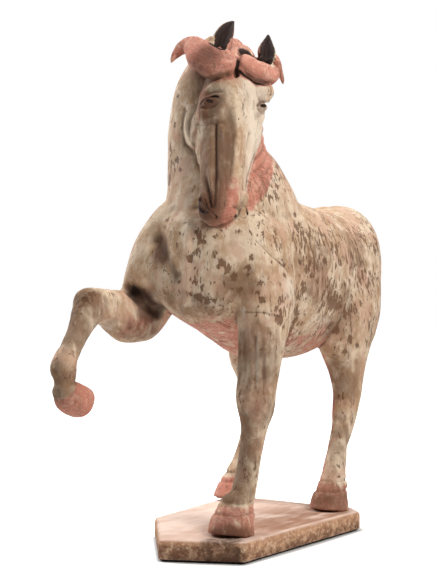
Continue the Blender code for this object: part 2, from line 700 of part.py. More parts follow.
def carve(points, normals):
    """Moves the surface where the clay was cut, pressed or built up. Places are in parts."""
    own = on_own_head(points)
    depth = np.zeros(len(points))
    for mark in HEAD_MARKS:
        depth += mark_depth(own, *mark, MARK_FRONT_SHARE)
    for mark in BODY_MARKS:
        depth += mark_depth(points, *mark)
    facing = smooth_step(0.05, 0.45, normals @ (HEAD_MATRIX @ (0, -1, 0)))
    for ear in (RIGHT_EAR, LEFT_EAR):
        spread, reach = ear_place(points, ear)
        hollow = np.clip(1 - (spread / EAR_CUP_WIDTH) ** 2, 0, 1) ** 0.6
        depth += EAR_CUP_DEPTH * reach * hollow * facing
    for hoof in (LEFT_FORE, LEFT_HIND, RIGHT_HIND):
        near = np.linalg.norm(points[:, :2] - hoof, axis=1) < CORONET_REACH
        for height in CORONET_CUTS:
            ring = (points[:, 2] - height) / CORONET_WIDTH
            depth += CORONET_DEPTH * near * np.exp(-(ring**2))
    depth += mane_strokes(points)
    return points - normals * depth[:, None]


def make_horse():
    """The whole horse as one closed solid."""
    horse = join_skins("horse", horse_skins())
    bpy.context.scene.collection.objects.link(horse)
    fused = horse.modifiers.new("fuse", "REMESH")
    fused.mode = "VOXEL"
    fused.voxel_size = CLAY_VOXEL * PART
    softened = horse.modifiers.new("soften", "SMOOTH")
    softened.factor = 0.5
    softened.iterations = 3
    settle(horse)
    points, normals = mesh_arrays(horse.data)
    edges = np.empty(2 * len(horse.data.edges), np.int32)
    horse.data.edges.foreach_get("vertices", edges)
    points = relax(points, edges.reshape(-1, 2), body_share(points), BODY_ROUNDS)
    store_points(horse.data, points)
    points, normals = mesh_arrays(horse.data)
    points = carve(points, normals)
    points[points[:, 2] < 1.2, 2] = 0.0
    store_points(horse.data, points)
    reduced = horse.modifiers.new("reduce", "DECIMATE")
    reduced.ratio = SOLID_TRIANGLES / (2.0 * len(horse.data.polygons))
    settle(horse)
    points, normals = mesh_arrays(horse.data)
    points[:, 2] = np.maximum(points[:, 2], 0.0)
    store_points(horse.data, points)
    horse.data.shade_smooth()
    return horse


def slab_outline():
    """Corners of the slab in metres, from where the hooves stand: the corner under the raised
    foreleg is cut off, and the corner behind the left hind hoof is chipped."""
    left_fore, left_hind, right_hind = (
        np.array(hoof) * PART for hoof in (LEFT_FORE, LEFT_HIND, RIGHT_HIND)
    )
    front = left_fore + (SLAB_LEFT_MARGIN, -SLAB_FRONT_MARGIN)
    point = front + (-SLAB_FRONT_LENGTH, -SLAB_FRONT_SKEW)
    back_left = left_hind + (SLAB_LEFT_MARGIN, SLAB_BACK_MARGIN)
    back_right = right_hind + (-SLAB_RIGHT_MARGIN, SLAB_BACK_MARGIN)
    side = back_right + (SLAB_RIGHT_SKEW, -SLAB_RIGHT_LENGTH)
    return [
        front,
        back_left + (0, -SLAB_CHIP),
        back_left + (-SLAB_CHIP, 0),
        back_right,
        side,
        point,
    ]


def make_slab():
    """The flat clay slab: its outline raised to its thickness, with worn edges."""
    outline = slab_outline()
    curve = bpy.data.curves.new("slab_outline", "CURVE")
    curve.dimensions = "2D"
    curve.fill_mode = "BOTH"
    curve.extrude = SLAB_THICKNESS / 2
    spline = curve.splines.new("POLY")
    spline.points.add(len(outline) - 1)
    for corner, place in zip(spline.points, outline):
        corner.co = (place[0], place[1], SLAB_THICKNESS / 2, 1)
    spline.use_cyclic_u = True
    drawn = bpy.data.objects.new("slab_outline", curve)
    bpy.context.scene.collection.objects.link(drawn)
    bpy.context.view_layer.update()
    graph = bpy.context.evaluated_depsgraph_get()
    mesh = bpy.data.meshes.new_from_object(drawn.evaluated_get(graph))
    bpy.data.objects.remove(drawn)
    welded = bmesh.new()
    welded.from_mesh(mesh)
    bmesh.ops.remove_doubles(welded, verts=welded.verts, dist=0.0001)
    for vertex in welded.verts:
        vertex.co.z = 0.0 if vertex.co.z < SLAB_THICKNESS / 2 else SLAB_THICKNESS
    bmesh.ops.recalc_face_normals(welded, faces=welded.faces)
    welded.to_mesh(mesh)
    welded.free()
    mesh.name = "base_slab"
    slab = bpy.data.objects.new("base_slab", mesh)
    bpy.context.scene.collection.objects.link(slab)
    worn = slab.modifiers.new("worn edges", "BEVEL")
    worn.width = SLAB_ROUNDING
    worn.segments = 2
    worn.limit_method = "ANGLE"
    return slab


def clay_material(name, colour, roughness):
    """A fired clay surface."""
    material = bpy.data.materials.new(name)
    material.use_nodes = True
    shader = material.node_tree.nodes["Principled BSDF"]
    shader.inputs["Base Color"].default_value = (*colour, 1.0)
    shader.inputs["Roughness"].default_value = roughness
    shader.inputs["Metallic"].default_value = 0.0
    return material


def clear_scene():
    for obj in list(bpy.data.objects):
        bpy.data.objects.remove(obj, do_unlink=True)


def build():
    clear_scene()
    group = bpy.data.collections.new("pottery_horse")
    bpy.context.scene.collection.children.link(group)
    horse = make_horse()
    horse.data.materials.clear()
    horse.data.materials.append(clay_material("slipped_clay", (0.62, 0.49, 0.36), 0.85))
    slab = make_slab()
    slab.data.materials.append(clay_material("slab_clay", (0.55, 0.36, 0.27), 0.9))
    for obj in (horse, slab):
        bpy.context.scene.collection.objects.unlink(obj)
        group.objects.link(obj)


build()
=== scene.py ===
"""Looks of a prancing pottery horse on its clay slab: moulded and carved clay under a cream slip,
with red earth pigment on the mane, belly, muzzle and hooves, and burial dirt with painted shade in
the hollows.

Metres, +Z up. The horse faces -Y and its left side is +X. Places on the horse are given in parts,
of which the horse is 555 tall, and heights on it count from the slab's top.
"""

import math

import bmesh
import bpy
import numpy as np
from mathutils import Matrix, Vector


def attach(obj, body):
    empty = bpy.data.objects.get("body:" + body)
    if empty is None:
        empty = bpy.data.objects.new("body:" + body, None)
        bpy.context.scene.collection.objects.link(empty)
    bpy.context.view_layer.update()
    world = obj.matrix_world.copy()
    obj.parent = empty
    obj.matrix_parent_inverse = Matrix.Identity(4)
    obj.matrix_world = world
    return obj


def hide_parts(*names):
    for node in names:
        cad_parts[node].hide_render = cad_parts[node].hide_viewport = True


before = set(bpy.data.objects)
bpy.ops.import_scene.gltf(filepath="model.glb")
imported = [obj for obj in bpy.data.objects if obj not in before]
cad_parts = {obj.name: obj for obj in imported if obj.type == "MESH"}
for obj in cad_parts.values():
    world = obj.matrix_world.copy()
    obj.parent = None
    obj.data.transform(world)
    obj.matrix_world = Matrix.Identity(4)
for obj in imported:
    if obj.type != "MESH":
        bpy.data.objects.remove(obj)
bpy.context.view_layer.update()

# The horse and slab, in metres
HORSE_HEIGHT = 0.555
SLAB_THICKNESS = 0.022
SLAB_LEFT_MARGIN = 0.036
SLAB_BACK_MARGIN = 0.027
SLAB_RIGHT_MARGIN = 0.019
SLAB_FRONT_MARGIN = 0.031
SLAB_FRONT_LENGTH = 0.081
SLAB_FRONT_SKEW = 0.036
SLAB_RIGHT_LENGTH = 0.184
SLAB_RIGHT_SKEW = 0.017
SLAB_CHIP = 0.021
SEAT_GAP = 0.0003

# The camera: place, the way it looks round from -Y, lens, and how far the picture is shifted up,
# as a share of its 585 rows
CAMERA_PLACE = (0.77148, -1.19414, 0.26082)
CAMERA_AZIMUTH = math.radians(34)
CAMERA_LENS = 77.05
CAMERA_SHIFT = 12.5 / 585

# The finished surface: voxel in parts, rounds of softening and of relaxing the body, triangles,
# and the height in parts below which the hooves are set level
FINE_VOXEL = 1.3
SOFT_ROUNDS = 6
FINE_ROUNDS = 90
FINE_TRIANGLES = 194000
SOLE_LEVEL = 1.2

# The horse's height in parts, and one part in metres
PARTS_TALL = 555.0
PART = HORSE_HEIGHT / PARTS_TALL

# The mane on the left of the neck: heights, thickness, how deep its root lies in the neck, and how
# far round from the left it reaches
MANE_TOP = 522.0
MANE_TIP = 338.0
MANE_THICKNESS = 6.0
MANE_ROOT = 6.0
MANE_REAR_TOP = -105.0
MANE_REAR_TIP = 35.0
MANE_REAR_POWER = 1.12
MANE_FORE_TOP = -20.0
MANE_FORE_TIP = 42.0
MANE_FORE_POWER = 0.6

# Pose of the head: turned to the horse's left, tucked in, and leaning a little
HEAD_PLACE = (38.0, -72.0, 474.5)
HEAD_TURN = math.radians(42)
HEAD_TUCK = math.radians(16)
HEAD_LEAN = math.radians(9)
# The space that the head takes up: how far back from the face line, and how far to each side at
# these distances down it
HEAD_BACK = -46
HEAD_DOWN = (44, 60, 75, 90, 105)
HEAD_HALF_WIDTH = (38, 34.5, 31, 28.5, 27)

# Where the hooves stand: x and y of the middle of each
LEFT_FORE = (54.0, -107.0)
LEFT_HIND = (60.0, 94.0)
RIGHT_HIND = (-76.0, 92.0)

# Stations of each form: x, y, z, half width, reach to the front or top, reach to the back or below
TRUNK = [
    (2, -117, 282, 12, 12, 12),
    (2, -113, 282, 36, 34, 36),
    (1, -102, 282, 56, 53, 52),
    (0, -78, 283, 70, 68, 66),
    (-1, -40, 284, 75, 84, 80),
    (0, 0, 282, 77, 90, 94),
    (0, 40, 278, 80, 88, 102),
    (0, 80, 276, 81, 84, 100),
    (-2, 120, 276, 78, 80, 91),
    (-3, 155, 280, 74, 74, 84),
    (-4, 185, 284, 72, 74, 76),
    (-4, 203, 286, 71, 78, 68),
    (-4, 220, 286, 67, 80, 62),
    (-4, 238, 286, 57, 70, 54),
    (-4, 250, 286, 38, 50, 40),
    (-4, 256, 286, 10, 14, 12),
]
NECK = [
    (-3, 4, 290, 52, 80, 84),
    (-5, -6, 318, 67, 90, 84),
    (-8, -15, 345, 72, 86, 78),
    (-11, -21, 370, 66, 73, 67),
    (-18, -26, 400, 56, 58, 55),
    (-20, -31, 432, 50, 51, 48),
    (-18, -31, 462, 47, 48, 46),
    (-13, -31, 488, 42, 42, 42),
    (-7, -33, 508, 33, 33, 33),
    (-1, -36, 524, 21, 21, 21),
    (3, -38, 534, 7, 7, 7),
]
# Head stations run down the face: middle, distance behind the face line, distance down, half width,
# reach to the face, reach to the jaw
HEAD = [
    (2, -50, -74, 5, 4, 5),
    (2, -50, -69, 15, 12, 14),
    (2, -47, -58, 22, 20, 24),
    (1, -44, -42, 28, 31, 33),
    (0, -41, -24, 33, 38, 38),
    (0, -39, -8, 35, 42, 40),
    (0, -38, 10, 36.5, 43, 40),
    (0, -38, 28, 36.5, 43, 41),
    (0, -37, 44, 35, 41, 39),
    (0, -33, 60, 32, 36.5, 33),
    (0, -28, 75, 28.5, 31, 27),
    (0, -25, 90, 26, 27.5, 22),
    (0, -23, 105, 24.5, 25.5, 19),
    (0, -22, 120, 24, 24.5, 18),
    (-1.5, -21, 132, 22.5, 23.5, 17),
    (-4, -21, 141, 19.5, 21.5, 15.5),
    (-5, -21, 148, 16, 17, 12),
    (-5, -22, 152.5, 10.5, 10, 7),
    (-5, -22, 155, 4, 4, 3),
]
# Legs that stand: x and y count from the middle of the hoof
LEFT_FORELEG = [
    (0, 0, 0, 23.5, 26, 21),
    (0, 1, 7, 23, 24.5, 20.5),
    (0, 4, 15, 21, 22, 19.5),
    (0.5, 8, 21, 19, 19.5, 18),
    (0.5, 10, 27, 19.5, 20, 18),
    (0.5, 13, 31, 15.5, 15.5, 15),
    (1, 19, 36, 12.8, 13, 13),
    (1, 24, 48, 12.2, 12.5, 12.5),
    (1, 28, 59, 12, 12, 12.5),
    (2, 32, 77, 11.6, 12, 12),
    (3, 36, 96, 12.2, 12.6, 13),
    (3, 40, 112, 14.5, 14.5, 15),
    (4, 41, 125, 18.5, 19, 18),
    (4, 41, 140, 20.5, 21.5, 20),
    (5, 42, 155, 20.5, 21, 21),
    (6, 44, 175, 21.5, 22.5, 24),
    (7, 46, 195, 23, 24, 28),
    (7, 49, 215, 25, 27, 34),
    (6, 53, 238, 27, 33, 42),
    (1, 57, 264, 30, 42, 50),
    (-7, 57, 294, 32, 46, 52),
    (-16, 59, 324, 28, 40, 46),
    (-24, 61, 350, 16, 24, 28),
]
# The raised leg
RAISED_UPPER_ARM = [
    (-76, -92, 216, 16, 18, 20),
    (-74, -90, 236, 23, 27, 31),
    (-68, -82, 266, 28, 34, 44),
    (-57, -70, 298, 31, 40, 50),
    (-45, -57, 326, 28, 40, 46),
    (-33, -48, 350, 16, 26, 28),
]
RAISED_FOREARM = [
    (-85, -186, 241, 8, 8, 8),
    (-85, -183, 241, 14, 14, 15),
    (-84.5, -174, 241, 17.5, 17, 19),
    (-84, -160, 240, 18, 17.5, 20),
    (-83, -145, 237, 18, 19.5, 21),
    (-81, -128, 232, 19, 25, 27),
    (-79, -110, 228, 21, 30, 31),
    (-77, -92, 228, 22, 33, 30),
    (-72, -74, 234, 20, 29, 22),
    (-64, -58, 242, 12, 16, 12),
]
RAISED_CANNON = [
    (-75, -217, 143, 6, 6, 6),
    (-75, -219, 146, 12, 12, 12),
    (-75, -221, 152, 13, 12.5, 12.5),
    (-75.5, -221, 158, 10.2, 10.2, 10.2),
    (-75.5, -221, 164, 11, 11.5, 11.5),
    (-76, -222, 173, 12.8, 13.8, 13),
    (-76.5, -219, 181, 11.8, 12.6, 12.2),
    (-77.5, -210, 192, 10.2, 10.8, 10.8),
    (-79, -199, 205, 10.5, 11, 11.5),
    (-81, -188, 218, 12.5, 13, 13.5),
    (-83, -177, 231, 15.5, 15.5, 16),
    (-84, -170, 241, 15, 14, 15),
    (-84, -166, 248, 8, 8, 8),
]
RAISED_HOOF = [
    (-73, -193, 135.5, 5, 5, 5),
    (-73, -194, 136, 14.5, 15.5, 14.5),
    (-73.5, -198, 138, 17, 17.5, 16.5),
    (-74, -206, 141, 17.5, 17.5, 17),
    (-74.5, -214, 145, 17, 17, 16.5),
    (-75, -220, 149, 13.5, 13.5, 13.5),
    (-75, -223, 152, 7, 7, 7),
]
# The hind legs stand too
LEFT_HINDLEG = [
    (0, -2, 0, 22, 26, 21),
    (0, -1, 8, 21, 24, 20),
    (0, 2, 18, 18.5, 20.5, 18),
    (0, 5, 25, 16.5, 17.5, 16.5),
    (0, 6, 30, 16.8, 17.8, 16.5),
    (0, 8, 37, 13.8, 14, 14.2),
    (0, 9, 44, 12.6, 13.5, 13.5),
    (0, 14, 57, 11.5, 13, 12.5),
    (-1, 21, 74, 10.2, 13, 11.5),
    (-1, 30, 89, 11.2, 15, 12),
    (-2, 39, 107, 13.2, 19, 15.5),
    (-2, 44, 132, 15.2, 19, 21.5),
    (-3, 45, 154, 17.5, 23, 28),
    (-5, 45, 174, 21, 33, 39),
    (-7, 46, 192, 25, 45, 49),
    (-11, 51, 218, 31, 56, 62),
    (-17, 60, 248, 34, 62, 75),
    (-24, 71, 283, 35, 62, 79),
    (-32, 81, 313, 31, 52, 70),
    (-38, 86, 336, 18, 32, 44),
]
RIGHT_HINDLEG = [
    (0, 0, 0, 22, 26, 21),
    (0, 2, 8, 20.5, 23, 20),
    (1, 5, 18, 18, 19.5, 18),
    (2, 8, 25, 16, 16.5, 16.5),
    (3, 10, 30, 16.3, 16.8, 16.5),
    (4, 12, 37, 13.4, 13.6, 14.2),
    (5, 15, 44, 12.2, 13, 13.5),
    (6, 21, 57, 11.2, 12.5, 12.5),
    (7, 27, 74, 10, 12.5, 11.5),
    (7, 33, 89, 11, 14.5, 12),
    (7, 38, 107, 13, 18.5, 15.5),
    (7, 40, 132, 15, 19, 21.5),
    (6, 36, 154, 17.5, 24, 28),
    (7, 32, 174, 22, 35, 40),
    (10, 34, 192, 26, 45, 48),
    (16, 42, 218, 31, 56, 60),
    (24, 56, 248, 34, 60, 74),
    (32, 71, 283, 35, 62, 77),
    (40, 83, 313, 31, 52, 68),
    (47, 88, 336, 18, 32, 44),
]
TAIL = [
    (-4, 236, 326, 8, 8, 8),
    (-4, 247, 328, 14, 13, 13),
    (-4, 257, 320, 13, 12, 12),
    (-4, 264, 304, 12, 10, 10),
    (-4, 266, 288, 10.5, 9, 9),
    (-4, 266, 284, 8.5, 7.5, 7.5),
    (-4, 267, 274, 11, 9, 9),
    (-4, 266, 260, 8, 6.5, 6.5),
    (-4, 263, 248, 3, 3, 3),
]

# Forelock locks in the head's own directions: toward its left, out of its face, down its length
RIGHT_LOCK = [
    (-4, -6, -31, 8, 2.5, 8),
    (-5, -6, -30.5, 14, 5.5, 12),
    (-9, -5, -29, 17.5, 7, 14),
    (-17, -4.5, -27, 20.5, 7.5, 14),
    (-27, -6, -27, 22, 7.5, 14),
    (-37, -12, -33, 20.5, 7.5, 13),
    (-45.5, -23, -45.5, 14.5, 6.5, 9),
    (-53, -34, -55, 10.5, 6, 6),
    (-60, -39, -52, 8, 5.5, 5.5),
    (-65.5, -41, -45, 5, 4.2, 4.2),
    (-68.5, -41.5, -38.5, 2.8, 2.6, 2.6),
    (-70, -41.5, -33, 1.2, 1.2, 1.2),
]
LEFT_LOCK = [
    (-0.5, -6, -35, 8, 3, 8),
    (1, -6, -34, 14, 6, 12),
    (5.5, -5, -28.5, 14.5, 8.5, 14),
    (13, -4, -23.5, 12.5, 9.5, 14),
    (23, -4.5, -21, 11.8, 9.5, 14),
    (31, -10, -23.5, 12, 9, 13),
    (37, -19, -30, 11.5, 8, 10),
    (40, -28, -39.5, 8.5, 6, 7),
    (41, -35, -48, 4, 4, 4),
]
LEFT_FLICK = [
    (24, -44, -50, 6, 5, 6),
    (34, -42, -60, 5.5, 4.5, 5.5),
    (42, -41, -63, 5, 4, 5),
    (47.5, -41, -57, 5, 4, 4.5),
    (51.5, -42, -48, 4, 3.2, 3.5),
    (55.5, -42, -39, 2.6, 2.4, 2.6),
    (57.5, -42, -32, 1.2, 1.2, 1.2),
]
RIGHT_EAR = [
    (-23, -16, -40, 6, 5, 6),
    (-22, -15, -47, 9.5, 8, 9),
    (-20.5, -17, -56, 11, 9, 9),
    (-18, -20, -66, 10.5, 8.5, 8.5),
    (-14.5, -24.5, -77, 8, 7, 7),
    (-11, -29, -86, 4.5, 4.5, 4.5),
    (-8, -32, -93, 1.4, 1.4, 1.4),
]
LEFT_EAR = [
    (31, -22, -36, 6, 5, 6),
    (31, -19, -43, 9.5, 8, 8),
    (31.5, -21, -51, 10.8, 8.5, 8.5),
    (31.5, -24, -60, 9.8, 8, 8),
    (32, -28, -70, 6.8, 6, 6),
    (32.7, -31.5, -79, 3.6, 3.6, 3.6),
    (33.3, -34, -86, 1.2, 1.2, 1.2),
]
# The hollow in the front of each ear: its share of the ear's width and of its reach to the front
EAR_CUP_WIDTH = 0.84
EAR_CUP_DEPTH = 1.2

# Rounded masses: middle, then reach toward the side, the front and down
HEAD_MASSES = [
    ((-31, -53, 34), (10, 28, 31)),
    ((31, -53, 34), (10, 28, 31)),
    ((-24, -25, 24), (13, 17, 20)),
    ((26, -26, 18), (12, 16, 19)),
    ((-26, -12, 22), (8, 7, 6)),
    ((32, -16, 14), (6.5, 7, 5.5)),
    ((30, -17, -6), (14, 12.5, 13)),
    ((-20.5, -10, 131.5), (5.5, 6, 7)),
    ((22, -13, 124), (6.5, 9, 9)),
    ((-4, -29, 143), (12, 9, 8)),
    ((-3, -46, -62), (14, 15, 16)),
    ((-27, -46, -60), (12, 14, 16)),
]

# Tool marks on the front of the head: a path, half width, depth; a negative depth raises a ridge. A
# mark reaches from its path to the surface, so a distance toward the front counts for less
MARK_FRONT_SHARE = 0.3
HEAD_MARKS = [
    ([(-18, -4, 49), (-15, -4, 76), (-12, -4, 104), (-9.5, -5, 141)], 2.1, 4.0),
    ([(-33, -12, 66), (-27, -9, 87), (-21.5, -6, 107), (-15, -6, 130), (-13, -6, 142)], 2.3, 3.6),
    ([(-28, -8, 57), (-23, -6, 77), (-17, -5, 105), (-11.5, -5, 138)], 1.7, -1.6),
    ([(-10, -1, 53), (-6.5, -1, 76), (-4.5, -1, 95)], 1.8, -1.2),
    ([(-4, 1, 8), (2, 1, 30), (6, -1, 52), (7.5, -1, 75), (8.5, -1, 98), (10, -1, 122)], 6.0, -2.4),
    ([(14, -3, 56), (15, -6, 88), (16, -7, 114), (15, -8, 128)], 2.2, -1.8),
    ([(21, -10, 50), (20, -8, 89), (20, -9, 112)], 2.8, 2.2),
    ([(-34, -25, 42), (-28, -17, 46), (-20, -8, 47), (-11, -1, 46)], 2.2, 1.4),
    ([(-37, -16, 11), (-30.5, -9, 4.5), (-22, -5, -0.5), (-15, -2, -5)], 3.0, -3.2),
    ([(-38, -18, 17), (-33, -12, 11.5), (-24, -7, 9.5), (-16, -4, 10.5)], 2.4, 2.4),
    ([(-35, -14, 23), (-31.5, -10, 17.5), (-26.5, -7, 15), (-21, -6, 16), (-16.5, -5, 19.5)], 1.3, 1.7),
    ([(-33.5, -13, 27), (-28, -9, 29.5), (-22.5, -7, 28), (-17.5, -5, 23)], 1.3, 1.3),
    ([(26.5, -8, 15), (29, -9, 10.5), (34, -12, 7), (40, -19, 7)], 1.4, 1.8),
    ([(27.5, -9, 19), (31.5, -11, 22), (36, -15, 20), (38.5, -19, 15)], 1.3, 1.3),
    ([(-24.5, -9, 136.5), (-21.7, -9, 141), (-18.5, -9, 145)], 1.9, 4.4),
    ([(14, -7, 137), (19, -9, 136), (25, -11, 135), (28, -13, 140)], 2.2, 3.0),
    ([(-23, -15, 142), (-17, -13, 148.5), (-10, -12, 151.5), (-2, -12, 152), (6, -13, 150)], 1.4, 1.7),
    ([(-1, 3, -46), (-2, 3, -30), (-2.5, 2, -20), (-2, 0, -11)], 2.3, 6.0),
    ([(-44, -18, -14), (-35, -8, -5), (-28, -3, -3), (-18, -2, -5), (-9, -1, -11)], 2.2, 2.6),
    ([(1, -1, -20), (9, -2, -14), (20, -3, -10), (31, -7, -10), (38, -15, -15)], 2.3, 3.6),
    ([(-35, -9, -50), (-29, -6, -43.5), (-22, -5, -39.5), (-16, -6, -42)], 1.7, 2.4),
    ([(18, -9, -44), (27, -9, -40), (36, -13, -41), (41, -20, -46)], 1.7, 2.4),
    ([(4, -10, -48), (12, -11, -49), (17, -13, -49)], 4.6, 9.0),
]
# Marks on the body, the same way as the head's, in the horse's own directions
BODY_MARKS = [
    ([(0, -111, 330), (4, -116, 297), (4, -117, 270), (-1, -112, 244), (-14, -96, 227)], 4.0, -2.6),
    ([(-26, -77, 452), (-29, -79, 436), (-26, -81, 418), (-15, -84, 405), (-1, -91, 389)], 3.2, 3.4),
    ([(-21, -78, 453), (-23, -80, 437), (-19, -82, 423), (-9, -85, 410), (4, -93, 392)], 2.4, -1.8),
    ([(-44, -106, 311), (-32, -108, 296), (-23, -109, 285), (-15, -110, 272)], 12.0, 9.5),
    ([(-80, -118, 259), (-68, -119, 254), (-60, -115, 247), (-54, -104, 236), (-53, -88, 231)], 6.0, 11.0),
    ([(-52, -93, 232), (-38, -80, 226), (-9, -84, 221), (15, -80, 220), (21, -60, 213)], 1.8, 2.0),
    ([(69, -83, 306), (79, -67, 290), (83, -39, 275)], 1.8, 1.4),
    ([(57, -85, 231), (78, -79, 230), (86, -59, 226)], 2.2, 1.4),
    ([(53, -84, 210), (54, -84, 180), (55, -86, 158)], 2.6, 0.9),
    ([(68, -84, 205), (68, -84, 181), (69, -84, 152)], 2.4, 1.0),
    ([(80, -77, 214), (79, -76, 186)], 2.4, 0.9),
    ([(76, -14, 325), (86, -34, 285), (88, -44, 250)], 6.0, 1.8),
    ([(-4, 120, 361), (-4, 165, 359), (-4, 215, 368), (-4, 240, 356)], 5.0, 2.2),
]
# Standing hooves: the rope-like coronet lies between two cuts, at these heights
CORONET_CUTS = (22.5, 33.5)
CORONET_WIDTH = 1.8
CORONET_DEPTH = 1.6
CORONET_REACH = 30.0
# Comb strokes of the mane: pitch, depth, and how far they rise round the neck
STROKE_PITCH = 9.0
STROKE_DEPTH = 1.3
STROKE_SLANT = 38.0

# Fine marks that only the finished surface carries, in the same form as the marks above: on the
# head in its own directions, then on the body
FINE_HEAD_MARKS = [
    ([(-15, -8, 141), (-12, -8, 145), (-9, -8, 148)], 0.8, 0.9),
    ([(-12.5, -8, 140.5), (-9, -8, 145), (-5, -9, 149)], 0.8, 0.9),
    ([(-9.5, -8, 141), (-7.5, -8, 143), (-5, -8, 145)], 0.7, 0.8),
    ([(-20, -12, 147), (-12, -12, 153), (-3, -12, 154)], 0.8, -0.8),
    ([(-6, 0, 112), (-5, -1, 128), (-4, -2, 141)], 0.8, 0.5),
    ([(0, 0, 108), (1, -1, 125), (1, -2, 140)], 0.8, 0.4),
    ([(-34, -13, 20), (-30, -8, 14.5), (-25, -5, 12.5), (-19, -3, 14)], 1.2, -1.3),
    ([(-33, -13, 30), (-28, -9, 32), (-22, -6, 31), (-16, -4, 25)], 1.2, -0.9),
    ([(26, -6, 12), (29, -8, 7.5), (34, -11, 4.5), (40, -18, 4)], 1.2, -1.3),
    ([(26, -8, 21), (31, -10, 25), (37, -15, 22)], 1.1, -0.9),
    ([(-31, -14, 36), (-24, -8, 39), (-17, -4, 38), (-11, -1, 35)], 1.0, 0.7),
    ([(-16, -3, 20), (-12, -2, 24), (-13, -2, 30)], 0.9, 0.7),
    ([(-37, -30, 60), (-33, -27, 80), (-28, -22, 98)], 1.4, 0.8),
    ([(12, -2, 44), (12, -3, 84), (11, -2, 120)], 1.0, 0.5),
    ([(2, 0, 60), (3, 0, 84), (4, 0, 106)], 1.2, 0.5),
]
FINE_BODY_MARKS = [
    ([(-54, -96, 231), (-38, -80, 226), (-9, -84, 220), (16, -82, 219)], 0.9, 2.2),
    ([(69, -83, 306), (79, -67, 290), (83, -39, 275)], 0.8, 0.8),
    ([(57, -86, 231), (78, -80, 230), (87, -59, 226)], 0.9, 1.0),
    ([(58, -88, 208), (59, -88, 188), (60, -88, 158)], 1.1, 1.1),
    ([(75, -78.5, 208), (75.5, -78, 180), (75.5, -78, 146)], 2.8, 1.4),
    ([(73, -84, 214), (74, -83, 196), (75, -82, 178)], 0.9, 0.8),
    ([(48, -83, 196), (48, -83, 168), (49, -84, 150)], 0.9, 0.8),
]

# Patches where the slip has come off down to the dark clay: middle, radius
WORN_PATCHES = [
    ((13, -112, 316), 3.4), ((16, -112, 310), 3.0), ((18, -113, 305), 3.6), ((15, -115, 294), 4.2),
    ((8, -117, 287), 3.6), ((20, -113, 299), 2.8), ((36, -111, 291), 3.8), ((43, -108, 283), 4.6),
    ((48, -104, 277), 5.2), ((51, -100, 268), 4.4), ((39, -110, 279), 3.2), ((67, -88, 288), 3.2),
    ((64, -91, 277), 3.4), ((63, -91, 270), 2.6), ((7, -112, 249), 4.2), ((16, -110, 246), 4.8),
    ((23, -107, 242), 4.2), ((29, -105, 244), 3.4), ((-10, -113, 263), 2.8), ((55, -93, 254), 3.0),
    ((72, -84, 252), 3.2), ((75, -81, 244), 3.6), ((74, -82, 262), 2.8), ((64, 5, 338), 3.4),
    ((69, 7, 327), 3.6), ((74, 22, 317), 3.8), ((77, 35, 306), 4.0), ((80, 46, 287), 4.4),
    ((77, -5, 286), 3.2), ((78, 9, 277), 5.0), ((78, 19, 272), 4.6), ((76, 1, 261), 4.2),
    ((76, 4, 255), 4.6), ((84, -49, 270), 3.4), ((85, -60, 260), 3.0), ((86, -59, 244), 3.6),
    ((85, -68, 233), 4.0), ((84, -66, 224), 4.6), ((58, 4, 211), 3.6), ((65, 4, 222), 3.8),
    ((78, 61, 244), 4.6), ((79, 70, 250), 4.2), ((77, 87, 239), 5.2), ((79, 94, 262), 3.6),
    ((75, 43, 233), 3.8), ((68, 78, 215), 4.6), ((65, 97, 209), 4.2), ((78, 60, 268), 3.0),
    ((-55, -63, 462), 2.6), ((-39, -74, 469), 2.6), ((-40, -78, 437), 3.0), ((-51, -73, 411), 3.0),
    ((-36, -79, 398), 3.4), ((-30, -82, 386), 2.8), ((-52, -72, 372), 3.2), ((-7, -91, 362), 2.0),
    ((-34, -101, 331), 3.2), ((-35, -105, 322), 3.0),
    ((-78, -186, 244), 4.2), ((-73, -180, 249), 4.0), ((-84, -182, 238), 3.0),
    ((74, 115, 197), 4.4), ((70, 111, 183), 4.2), ((77, 129, 191), 4.2), ((54, -94, 315), 3.0),
    ((34, -108, 311), 2.8), ((80, 80, 288), 4.2), ((74, 121, 298), 4.2), ((73, -50, 317), 3.4),
]
# A soft patch is whole out to the first share of its reach, and gone at the second
PATCH_WHOLE = 0.35
PATCH_GONE = 1.35
# Grey-brown burial dirt on the body, which also stands in as painted shade on the shaded legs, under
# the chest and on the shoulder: middle, reach to the side, the front and up, strength
DIRT_AND_SHADE_PATCHES = [
    ((60, -66, 128), (32, 32, 30), 0.75), ((48, -86, 92), (26, 34, 54), 1.0),
    ((50, -90, 60), (24, 28, 28), 1.0), ((64, -122, 3), (38, 36, 14), 0.85),
    ((57, -108, 41), (30, 34, 13), 0.85), ((64, -78, 180), (36, 36, 50), 0.85),
    ((-80, -180, 238), (26, 26, 30), 0.95), ((-80, -204, 212), (24, 28, 36), 1.0),
    ((-72, -217, 196), (22, 20, 16), 0.6), ((-76, -224, 168), (22, 22, 22), 0.9),
    ((-80, -222, 150), (22, 22, 14), 0.95), ((76, 20, 290), (40, 70, 30), 0.55),
    ((79, 42, 256), (30, 50, 24), 0.66), ((68, 104, 225), (36, 34, 50), 0.55),
    ((70, 136, 304), (30, 46, 44), 0.55), ((56, -94, 260), (26, 24, 26), 0.8),
    ((-80, -130, 218), (26, 50, 18), 0.5), ((4, -108, 236), (60, 30, 26), 0.65),
    ((64, 116, 150), (30, 36, 40), 0.75), ((-70, 110, 130), (30, 40, 60), 0.5),
    ((64, 108, 80), (26, 30, 50), 0.6), ((64, 88, 12), (36, 36, 24), 0.8),
    ((60, -116, 24), (34, 34, 14), 0.25), ((-70, 108, 70), (26, 30, 50), 0.35),
    ((-74, 98, 30), (28, 28, 10), 0.6), ((-72, -228, 136), (34, 34, 30), 0.42),
]
